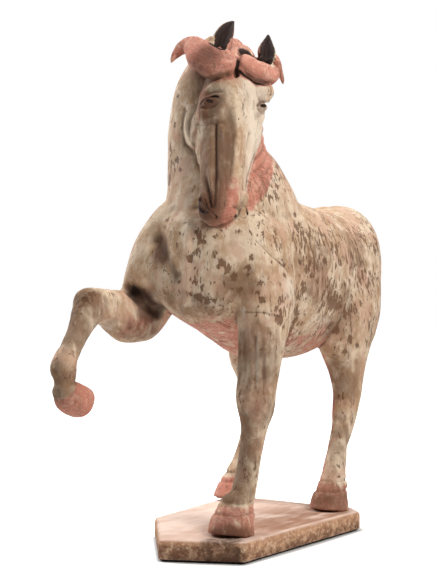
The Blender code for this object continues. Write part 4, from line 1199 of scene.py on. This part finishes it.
def ear_share(points, normals, own):
    """1 inside the pressed-in ears, where the clay is bare and dark, and half over the rest of each
    ear above its foot."""
    facing = smooth_step(-0.7, 0.1, normals @ HEAD_OUT)
    share = np.zeros(len(points))
    for ear in (RIGHT_EAR, LEFT_EAR):
        spread, reach = ear_place(points, ear)
        line = (1 - EAR_BARE_FROM) * ear[1][2] + EAR_BARE_FROM * ear[-1][2]
        above = smooth_step(-6, 8, line - own[:, 2])
        inside = (1 - smooth_step(0.66, 0.86, spread)) * facing
        share = np.maximum(share, np.maximum(inside, 0.5 * above) * (reach > 0))
    return share


def near_path(points, path, width):
    """1 on a smooth curve through a path, falling away with distance in half widths."""
    gap = distance_to_path(points, smooth_rows(path, GAP_STEPS)) / width
    return np.exp(-(gap**2))


def recess_shade_share(points, own):
    """Painted shade: 1 in the deep gaps round the locks and the ears, in the eyes, nostrils and
    mouth, and less beside the raised foreleg and down the standing one."""
    counted = (1, GAP_FRONT_SHARE, 1)
    share = np.zeros(len(points))
    for path, width in DEEP_GAPS:
        share = np.maximum(share, near_path(own * counted, np.asarray(path) * counted, width))
    for path, width, strength in BODY_GAPS:
        share = np.maximum(share, strength * near_path(points, path, width))
    return share


def on_face(points, own):
    """1 on the skin of the head below the forelock, and 0 on the neck and chest behind it."""
    share = near_band(points, on_head_stations(HEAD), side=-HEAD_LEFT)[0]
    down = own[:, 2]
    return (1 - smooth_step(1.12, 1.3, share)) * smooth_step(-24, -14, down) * (down < 157)


def dirty_shaded_face(own, face):
    """1 on the right side of the face, its shaded side, where dirt and painted shade lie."""
    line = np.interp(own[:, 2], FACE_LINE_DOWN, DIRT_AND_SHADE_LINE)
    return face * (1 - smooth_step(-9, 3, own[:, 0] - line))


def pale_and_lit_share(points, own, face):
    """Where the slip is painted paler: on the face's left side, clean slip mixed with painted light on
    that lit side; painted light on the top of the croup and on the neck's right side; and the
    patches of painted highlight and pale slip."""
    line = np.interp(own[:, 2], FACE_LINE_DOWN, CLEAN_AND_LIT_LINE)
    cheek = 0.75 * face * smooth_step(-7, 16, own[:, 0] - line)
    croup = smooth_step(325, 350, points[:, 2]) * smooth_step(110, 150, points[:, 1])
    neck = smooth_step(-50, -60, points[:, 0]) * smooth_step(340, 370, points[:, 2])
    broad = np.maximum(cheek, np.maximum(0.2 * croup, 0.65 * neck))
    return np.maximum(broad, soft_patches(points, PALE_AND_LIT_PATCHES))


def store_horse_fields(mesh):
    """Works out where each layer of the horse's finish lies, and keeps it in the mesh."""
    points, normals = mesh_arrays(mesh)
    edges = mesh_edges(mesh)
    own = on_own_head(points)
    face = on_face(points, own)
    # dirt: dirt with painted shade, on the face's shaded right side, under the chest, on the shoulder and
    # down the shaded legs
    dirt = soft_patches(points, DIRT_AND_SHADE_PATCHES) + 0.58 * dirty_shaded_face(own, face)
    on_skull = np.maximum(face, own[:, 2] < -2)
    head_umber = soft_patches(own, HEAD_UMBER) * on_skull
    store_fields(mesh, {
        "hollow": hollow_share(points, normals, edges, CREASE_ROUNDS, CREASE_DEPTH),
        "broad_hollow": hollow_share(points, normals, edges, DIP_ROUNDS, DIP_DEPTH),
        "red": red_share(points, normals, own, face),
        "dirt": dirt + soft_patches(own, HEAD_DIRT_AND_SHADE) * face,
        "umber": np.maximum(soft_patches(points, UMBER_PATCHES), head_umber),
        "pale": pale_and_lit_share(points, own, face),
        "worn": worn_share(points),
        "flecked": flecked_share(points, normals, face),
        # dark: the bare clay of the ears, and painted shade in the deep gaps
        "dark": np.maximum(ear_share(points, normals, own), recess_shade_share(points, own)),
    })


def make_horse():
    """The whole horse as one closed surface."""
    horse = join_skins("pottery_horse", horse_skins())
    fused = horse.modifiers.new("fuse", "REMESH")
    fused.mode = "VOXEL"
    fused.voxel_size = FINE_VOXEL * PART
    softened = horse.modifiers.new("soften", "SMOOTH")
    softened.factor = 0.5
    softened.iterations = SOFT_ROUNDS
    settle(horse)
    points = mesh_arrays(horse.data)[0]
    points = relax(points, mesh_edges(horse.data), body_share(points), FINE_ROUNDS)
    store_points(horse.data, points)
    for cut in (carve, fine_carve):
        points = cut(*mesh_arrays(horse.data))
        points[points[:, 2] < SOLE_LEVEL, 2] = 0.0
        store_points(horse.data, points)
    reduced = horse.modifiers.new("reduce", "DECIMATE")
    reduced.ratio = min(1.0, FINE_TRIANGLES / (2.0 * len(horse.data.polygons)))
    settle(horse)
    points = mesh_arrays(horse.data)[0]
    points[:, 2] = np.maximum(points[:, 2], 0.0)
    store_points(horse.data, points)
    horse.data.shade_smooth()
    store_horse_fields(horse.data)
    return horse


def ring_points(corners, count, rounding):
    """A closed outline with rounded corners, evenly spaced: each point moves toward the middle of
    its neighbours until the corners have this rounding."""
    corners = np.asarray(corners, float)
    closed = np.vstack([corners, corners[:1]])
    at = np.concatenate([[0], np.cumsum(np.linalg.norm(np.diff(closed, axis=0), axis=1))])
    wanted = np.linspace(0, at[-1], count, endpoint=False)
    ring = np.stack([np.interp(wanted, at, closed[:, k]) for k in range(2)], axis=1)
    for _ in range(rounding):
        ring = 0.5 * ring + 0.25 * (np.roll(ring, 1, axis=0) + np.roll(ring, -1, axis=0))
    return ring


def slab_grid(middle, out, length):
    """The slab's rings of points: out along the underside, up the side and in over the top."""
    level = 1 - SLAB_SIDE[-1][0] / length
    shares = np.linspace(0, 1, SLAB_STEPS + 1)[1:-1] ** 0.8
    reaches = [(share * level, 0.0) for share in shares]
    reaches += [(1 - inset / length, height) for inset, height in SLAB_SIDE]
    reaches += [(share * level, 1.0) for share in shares[::-1]]
    return [
        np.column_stack(
            [middle + out * reach[:, None], np.full(len(out), height * SLAB_THICKNESS)]
        )
        for reach, height in reaches
    ]


def make_slab():
    """The slab: a smooth top with a worn and nicked rim, and a knife-cut, crumbling side."""
    ring = ring_points(slab_outline(), SLAB_POINTS, SLAB_ROUNDING)
    middle = ring.mean(axis=0)
    length = np.linalg.norm(ring - middle, axis=1)
    rings = slab_grid(middle, ring - middle, length)
    points = np.concatenate(rings)
    rise = points[:, 2] / SLAB_THICKNESS
    offset = points[:, :2] - middle
    from_middle = np.linalg.norm(offset, axis=1)
    outward = offset / np.maximum(from_middle, 1e-6)[:, None]
    from_edge = np.tile(length, len(rings)) - from_middle
    on_side = (1 - smooth_step(0.003, 0.010, from_edge)) * smooth_step(0.0, 0.2, rise)
    gouged = GOUGE_DEPTH * layered_noise(points * (1, 1, 1.6), GOUGE_SIZE, seed=41)
    crumbled = CRUMB_DEPTH * layered_noise(points * (1, 1, 0.5), CRUMB_SIZE, seed=51)
    points[:, :2] -= outward * (on_side * np.abs(gouged + crumbled))[:, None]
    nick = smooth_step(0.35, 0.9, layered_noise(points, NICK_SIZE, seed=61))
    at_rim = (1 - smooth_step(0.0, RIM_WIDTH, from_edge)) * smooth_step(0.7, 1.0, rise)
    points[:, 2] -= at_rim * (RIM_WEAR + NICK_DEPTH * nick)
    top = smooth_step(0.98, 1.0, rise) * (1 - at_rim)
    points[:, 2] -= top * TOP_DEPTH * (1 + layered_noise(points, TOP_SIZE, seed=71))
    mesh = bpy.data.meshes.new("clay_slab")
    mesh.from_pydata(points.tolist(), [], grid_faces(len(rings), len(ring)))
    face_outward(mesh, cut_caps=True)
    mesh.shade_smooth()
    store_slab_fields(mesh, points, rise, on_side, at_rim)
    return add_object("clay_slab", mesh)


def store_slab_fields(mesh, points, rise, on_side, at_rim):
    """Works out where each layer of the slab's finish lies, and keeps it in the mesh."""
    across, along, height = points.T
    front = smooth_step(-0.132, -0.142, along) * (rise < 0.8)
    near_left = smooth_step(-0.03, 0.06, across) * smooth_step(-0.13, -0.04, along)
    gap = np.linalg.norm((points - UNDER_HOOF) / UNDER_HOOF_REACH, axis=1)
    store_fields(mesh, {
        "side": on_side * smooth_step(0.02, 0.1, rise) * (1 - smooth_step(0.93, 1, rise)),
        "rim": at_rim,
        # painted shade with soil: the slab's front face is darker because it faces away from the light
        "front": 0.8 * on_side * front,
        "trodden": near_left * (1 - on_side),
        "low": 0.95 * on_side * (1 - smooth_step(0.15, 0.75, rise)),
        # a painted contact shadow along the slab's foot
        "foot": 1 - smooth_step(0.0016, 0.0026, height),
        "under_hoof": 0.9 * (1 - smooth_step(0.7, 1.2, gap)),
    })


class Value:
    """One output of a node. Sums, differences and products become Math nodes."""

    def __init__(self, finish, socket):
        self.finish = finish
        self.socket = socket

    def __add__(self, other):
        return self.finish.maths("ADD", self, other)

    def __radd__(self, other):
        return self.finish.maths("ADD", other, self)

    def __sub__(self, other):
        return self.finish.maths("SUBTRACT", self, other)

    def __rsub__(self, other):
        return self.finish.maths("SUBTRACT", other, self)

    def __mul__(self, other):
        return self.finish.maths("MULTIPLY", self, other)

    def __rmul__(self, other):
        return self.finish.maths("MULTIPLY", other, self)


class Finish:
    """The nodes of one surface finish."""

    def __init__(self, name, tree=None):
        if tree is None:
            self.material = bpy.data.materials.new(name)
            self.material.use_nodes = True
            tree = self.material.node_tree
        self.tree = tree

    def node(self, kind, settings=None, sockets=None, output=0):
        """A node of this kind: its settings first, then the values or links of its sockets."""
        made = self.tree.nodes.new(kind)
        for name, value in (settings or {}).items():
            setattr(made, name, value)
        for name, value in (sockets or {}).items():
            self.feed(made.inputs[name], value)
        return Value(self, made.outputs[output])

    def feed(self, socket, value):
        if isinstance(value, Value):
            self.tree.links.new(value.socket, socket)
        elif isinstance(value, tuple) and len(value) == 3 and socket.type == "RGBA":
            socket.default_value = (*value, 1.0)
        else:
            socket.default_value = value

    def maths(self, operation, first, second):
        return self.node("ShaderNodeMath", {"operation": operation}, {0: first, 1: second})

    def greater(self, first, second):
        return self.maths("MAXIMUM", first, second)

    def blend(self, first, second, share):
        """Colour that goes from the first to the second as the share goes from 0 to 1."""
        sockets = {"Factor": share, 6: first, 7: second}
        return self.node("ShaderNodeMix", {"data_type": "RGBA"}, sockets, output=2)

    def step(self, low, high, value):
        """0 below low, 1 above high, an easy curve between."""
        sockets = {"Value": value, "From Min": low, "From Max": high}
        return self.node("ShaderNodeMapRange", {"interpolation_type": "SMOOTHSTEP"}, sockets)

    def place(self, stretch=(1, 1, 1)):
        """Object coordinates, stretched along the axes."""
        here = self.node("ShaderNodeTexCoord", output="Object")
        return self.node("ShaderNodeVectorMath", {"operation": "MULTIPLY"}, {0: here, 1: stretch})

    def noise(self, place, size, detail=3.0, roughness=0.55, distortion=0.0):
        """Noise from 0 to 1 with features of this size in metres."""
        sockets = {
            "Vector": place, "Scale": 1 / size, "Detail": detail, "Roughness": roughness,
            "Distortion": distortion,
        }
        return self.node("ShaderNodeTexNoise", sockets=sockets)

    def field(self, name):
        """A number kept at the points of the mesh."""
        return self.node("ShaderNodeAttribute", {"attribute_name": name}, output="Fac")

    def surface(self, colour, roughness, height, depth):
        """Sets the shader: colour, roughness, and a bump of this depth in metres."""
        shader = self.tree.nodes["Principled BSDF"]
        bump = self.node("ShaderNodeBump", sockets={"Distance": depth, "Height": height})
        self.feed(shader.inputs["Base Color"], colour)
        self.feed(shader.inputs["Roughness"], roughness)
        self.feed(shader.inputs["Normal"], bump)
        shader.inputs["Specular IOR Level"].default_value = 0.25
        return self.material


def paint(red, green, blue):
    """A colour from its display values, 0 to 255, as the shader wants it."""
    return tuple(
        c / 12.92 if c <= 0.04045 else ((c + 0.055) / 1.055) ** 2.4
        for c in (red / 255, green / 255, blue / 255)
    )


# Colours of the horse
CREAM_SLIP = paint(221, 200, 175)
PALE_SLIP_AND_LIGHT = paint(240, 226, 208)
TAN_SLIP = paint(180, 146, 114)
ROSE_CLAY = paint(198, 158, 134)
RED_EARTH = paint(190, 116, 98)
RED_WORN = paint(214, 160, 142)
BURIAL_DIRT_AND_SHADE = paint(114, 84, 62)
HOLLOW_DIRT_AND_SHADE = paint(98, 70, 54)
UMBER_SOIL_AND_SHADE = paint(86, 52, 38)
DARK_CLAY = paint(112, 78, 54)
EAR_DARK_AND_GAP_SHADE = paint(44, 27, 22)

# Colours of the slab
DUSTED_TOP = paint(238, 216, 202)
ROSE_TOP = paint(218, 186, 168)
TRODDEN_TOP = paint(166, 124, 100)
CUT_CLAY = paint(206, 164, 130)
CUT_SHADE = paint(156, 110, 82)
FRONT_SOIL_AND_SHADE = paint(122, 84, 66)
LOW_SOIL = paint(112, 78, 60)
PALE_CRUMBS = paint(232, 200, 168)
RIM_CLAY = paint(176, 128, 98)
HOOF_SOIL = paint(92, 66, 50)
FOOT_SHADE = paint(34, 26, 22)


def slipped_clay():
    """Cream slip, stained and flaking, over fired clay, with painted shade in its hollows, gaps and
    shaded places, and painted light on its lit places.
    """
    f = Finish("slipped_clay")
    here = f.place()
    upright = f.place((1, 1, 0.38))
    broad = f.noise(here, 0.055, 4, 0.6)
    blotch = f.noise(here, 0.018, 5, 0.6, 0.4)
    streak = f.noise(upright, 0.0085, 5, 0.62, 0.3)
    grain = f.noise(here, 0.0028, 3, 0.6)
    stain = f.step(0.42, 0.57, broad * 0.4 + blotch * 0.35 + streak * 0.25)
    colour = f.blend(CREAM_SLIP, TAN_SLIP, stain)
    colour = f.blend(colour, PALE_SLIP_AND_LIGHT, f.step(0.52, 0.64, streak) * 0.45)
    rose = f.step(0.50, 0.60, f.noise(here, 0.034, 4, 0.6, 0.5))
    colour = f.blend(colour, ROSE_CLAY, rose * 0.6)
    # painted light as paler slip: on the face's lit left side, the top of the croup, the neck's right
    # side, and highlights on the standing foreleg's ridges
    pale = f.field("pale")
    colour = f.blend(colour, PALE_SLIP_AND_LIGHT, f.step(0.1, 1.0, pale + (streak - 0.5) * 0.9) * 0.8)
    # red pigment, rubbed through in patches
    red = f.field("red")
    kept = f.step(0.30, 0.62, red + (blotch - 0.5) * 1.4 + (streak - 0.5) * 1.0)
    rubbed = f.blend(RED_EARTH, RED_WORN, f.step(0.47, 0.61, blotch * 0.6 + grain * 0.4))
    colour = f.blend(colour, rubbed, kept * 0.85)
    # dirt on the limbs and the face, with painted shade where they lie in shade, and dirt with painted
    # shade in the hollows
    dirt = f.field("dirt")
    grime_and_shade = f.step(0.15, 1.0, dirt + (blotch - 0.5) * 0.8 + (streak - 0.5) * 1.1)
    colour = f.blend(colour, BURIAL_DIRT_AND_SHADE, grime_and_shade * 0.75)
    # dark red-brown soiling mixed with painted shade: beside the raised foreleg, in the chest's hollow,
    # and on the face's shaded side and muzzle
    umber = f.step(0.1, 0.9, f.field("umber") + (streak - 0.5) * 0.6)
    colour = f.blend(colour, UMBER_SOIL_AND_SHADE, umber * 0.8)
    # dirt with painted shade pooled in the hollows, darker in deeper and broader hollows
    hollow = f.field("hollow")
    broad_hollow = f.field("broad_hollow")
    pooled_dirt_and_shade = f.greater(f.step(0.56, 1.0, hollow) * 0.62, f.step(0.52, 0.95, broad_hollow))
    colour = f.blend(colour, HOLLOW_DIRT_AND_SHADE, pooled_dirt_and_shade * 0.7)
    # flecks and patches where the slip is gone
    fleck = f.noise(upright, 0.0042, 4, 0.6, 0.6)
    crowd = f.noise(here, 0.04, 3, 0.5)
    flecks = f.step(0.615, 0.635, fleck + (crowd - 0.5) * 0.5 + (f.field("flecked") - 0.5) * 0.12)
    torn = f.noise(upright, 0.0036, 5, 0.66, 0.6)
    bare = f.step(0.52, 0.58, f.field("worn") + (torn - 0.5) * 3.2)
    gone = f.greater(flecks * (1 - 0.85 * f.greater(0.5 * red, pale)), bare)
    colour = f.blend(colour, DARK_CLAY, gone * 0.85)
    # near-black bare clay of the ears, and painted shade in the deep gaps
    colour = f.blend(colour, EAR_DARK_AND_GAP_SHADE, f.step(0.25, 0.7, f.field("dark")))
    rough = 0.78 + grime_and_shade * 0.1 - gone * 0.08
    height = grain * 0.35 + blotch * 0.25 + streak * 0.3 - gone * 0.5
    return f.surface(colour, rough, height, 0.0012)


def slab_clay():
    """Pale dusted top, cut sides of rough reddish clay, with painted shade on the front face and a
    painted contact shadow along the foot.
    """
    f = Finish("slab_clay")
    here = f.place()
    broad = f.noise(here, 0.05, 4, 0.6)
    swept = f.noise(f.place((1, 0.25, 1)), 0.012, 4, 0.6, 0.4)
    grain = f.noise(here, 0.0026, 4, 0.65)
    crumb = f.noise(f.place((1, 1, 1.4)), 0.009, 5, 0.7, 0.5)
    crumbs = f.step(0.50, 0.62, f.noise(here, 0.0062, 4, 0.7))
    side = f.field("side")
    low = f.field("low")
    top = f.blend(DUSTED_TOP, ROSE_TOP, f.step(0.4, 0.65, broad * 0.6 + swept * 0.4))
    cut = f.blend(CUT_CLAY, CUT_SHADE, f.step(0.40, 0.64, crumb * 0.7 + grain * 0.3))
    trodden = f.field("trodden") * f.step(0.30, 0.60, broad * 0.5 + swept * 0.5)
    colour = f.blend(f.blend(top, TRODDEN_TOP, trodden), cut, side)
    for tone, share in (
        # brown soil and painted shade on the front face
        (FRONT_SOIL_AND_SHADE, f.field("front") * f.step(0.25, 0.6, crumb * 0.6 + grain * 0.4)),
        (LOW_SOIL, low * f.step(0.3, 0.6, crumb)),
        (PALE_CRUMBS, side * crumbs * (0.7 - 0.45 * low)),
        (RIM_CLAY, f.field("rim") * 0.35),
        (HOOF_SOIL, f.field("under_hoof") * f.step(0.22, 0.62, crumb)),
        (FOOT_SHADE, f.field("foot")),
    ):
        colour = f.blend(colour, tone, share)
    height = grain * 0.4 + crumb * 0.6 * side + swept * 0.15
    return f.surface(colour, 0.82, height, 0.0012)


def floor_finish():
    """A white floor, glowing a little away from the slab so that it stays white; close to the slab
    the glow fades out, which paints a contact shadow there.
    """
    f = Finish("studio_floor")
    shader = f.tree.nodes["Principled BSDF"]
    shader.inputs["Base Color"].default_value = (0.6, 0.6, 0.6, 1)
    shader.inputs["Roughness"].default_value = 0.9
    shader.inputs["Specular IOR Level"].default_value = 0.0
    shader.inputs["Emission Strength"].default_value = 1.0
    here = f.place()
    away = f.node("ShaderNodeVectorMath", {"operation": "LENGTH"}, {0: here}, output="Value")
    seen = f.node("ShaderNodeLightPath", output="Is Camera Ray")
    glow = f.field("clear") * (0.08 + (0.84 + 0.08 * f.step(0.6, 2.5, away)) * seen)
    f.feed(shader.inputs["Emission Color"], f.blend((0.0, 0.0, 0.0), (1.0, 1.0, 1.0), glow))
    return f.material


def toward(azimuth):
    """Level directions to the right of a viewer at this azimuth, and away from the viewer."""
    right = Vector((math.cos(azimuth), math.sin(azimuth), 0))
    away = Vector((-math.sin(azimuth), math.cos(azimuth), 0))
    return right, away


def soft_light(name, right, away, up, size, watts, colour):
    """A square soft light, placed by metres to the viewer's right, away and up, facing the horse."""
    to_right, to_away = toward(CAMERA_AZIMUTH)
    place = to_right * right + to_away * away + Vector((0, 0, up))
    light = bpy.data.lights.new(name, "AREA")
    light.shape = "SQUARE"
    light.size = size
    light.energy = watts
    light.color = colour
    lamp = add_object(name, light)
    lamp.location = place
    lamp.rotation_euler = (Vector(LIGHT_AIM) - place).to_track_quat("-Z", "Y").to_euler()


def light_world():
    """White behind the horse, dim on the viewer's side, plain white where the camera looks past."""
    world = bpy.data.worlds.new("studio")
    bpy.context.scene.world = world
    world.use_nodes = True
    f = Finish("studio", world.node_tree)
    to_away = toward(CAMERA_AZIMUTH)[1]
    sky = f.node("ShaderNodeTexCoord", output="Generated")
    behind = f.node(
        "ShaderNodeVectorMath", {"operation": "DOT_PRODUCT"}, {0: sky, 1: tuple(to_away)}, output="Value"
    )
    glow = 0.07 + 0.5 * f.step(0.0, 0.8, behind)
    seen = f.node("ShaderNodeLightPath", output="Is Camera Ray")
    strength = seen + (1 - seen) * glow
    ground = world.node_tree.nodes["Background"]
    ground.inputs["Color"].default_value = (1, 1, 1, 1)
    f.feed(ground.inputs["Strength"], strength)


def set_camera():
    """The photograph's viewpoint, level, with the frame shifted up."""
    camera = bpy.data.cameras.new("photo_view")
    camera.lens = CAMERA_LENS
    camera.sensor_fit = "VERTICAL"
    camera.sensor_height = 36.0
    camera.shift_y = CAMERA_SHIFT
    camera.clip_start = 0.01
    view = add_object("photo_view", camera)
    to_right, to_away = toward(CAMERA_AZIMUTH)
    turn = Matrix((to_right, Vector((0, 0, 1)), -to_away)).transposed().to_4x4()
    turn.translation = Vector(CAMERA_PLACE)
    view.matrix_world = turn
    bpy.context.scene.camera = view


def make_floor():
    """A level floor: rings round the slab's outline, ever farther out, with how clear of the slab
    each ring lies, which sets the painted contact shadow."""
    ring = ring_points(slab_outline(), FLOOR_POINTS, FLOOR_ROUNDING)
    middle = ring.mean(axis=0)
    out = ring - middle
    length = np.linalg.norm(out, axis=1)[:, None]
    flat = np.concatenate([middle + out * (1 + reach / length) for reach in FLOOR_REACHES])
    points = np.column_stack([flat, np.full(len(flat), -FLOOR_DROP)])
    faces = grid_faces(len(FLOOR_REACHES), len(ring))
    mesh = bpy.data.meshes.new("studio_floor")
    mesh.from_pydata(points.tolist(), [], faces[:-1])
    # the floor's glow fades out within 3 mm of the slab, and within 12 mm toward the horse's left: a
    # painted contact shadow
    spread = 0.003 + 0.009 * smooth_step(0.0, 0.04, flat[:, 0])
    clear = smooth_step(0.0, 1.0, np.repeat(FLOOR_REACHES, len(ring)) / spread)
    store_fields(mesh, {"clear": clear})
    mesh.materials.append(floor_finish())
    add_object("studio_floor", mesh)


set_camera()
make_floor()
light_world()
for light_name, light_settings in LIGHTS.items():
    soft_light(light_name, *light_settings)
bpy.context.scene.view_settings.view_transform = "Standard"

horse = make_horse()
horse.data.materials.clear()
horse.data.materials.append(slipped_clay())
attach(horse, "root")
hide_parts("horse")

slab = make_slab()
slab.data.materials.append(slab_clay())
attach(slab, "root")
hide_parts("base_slab")
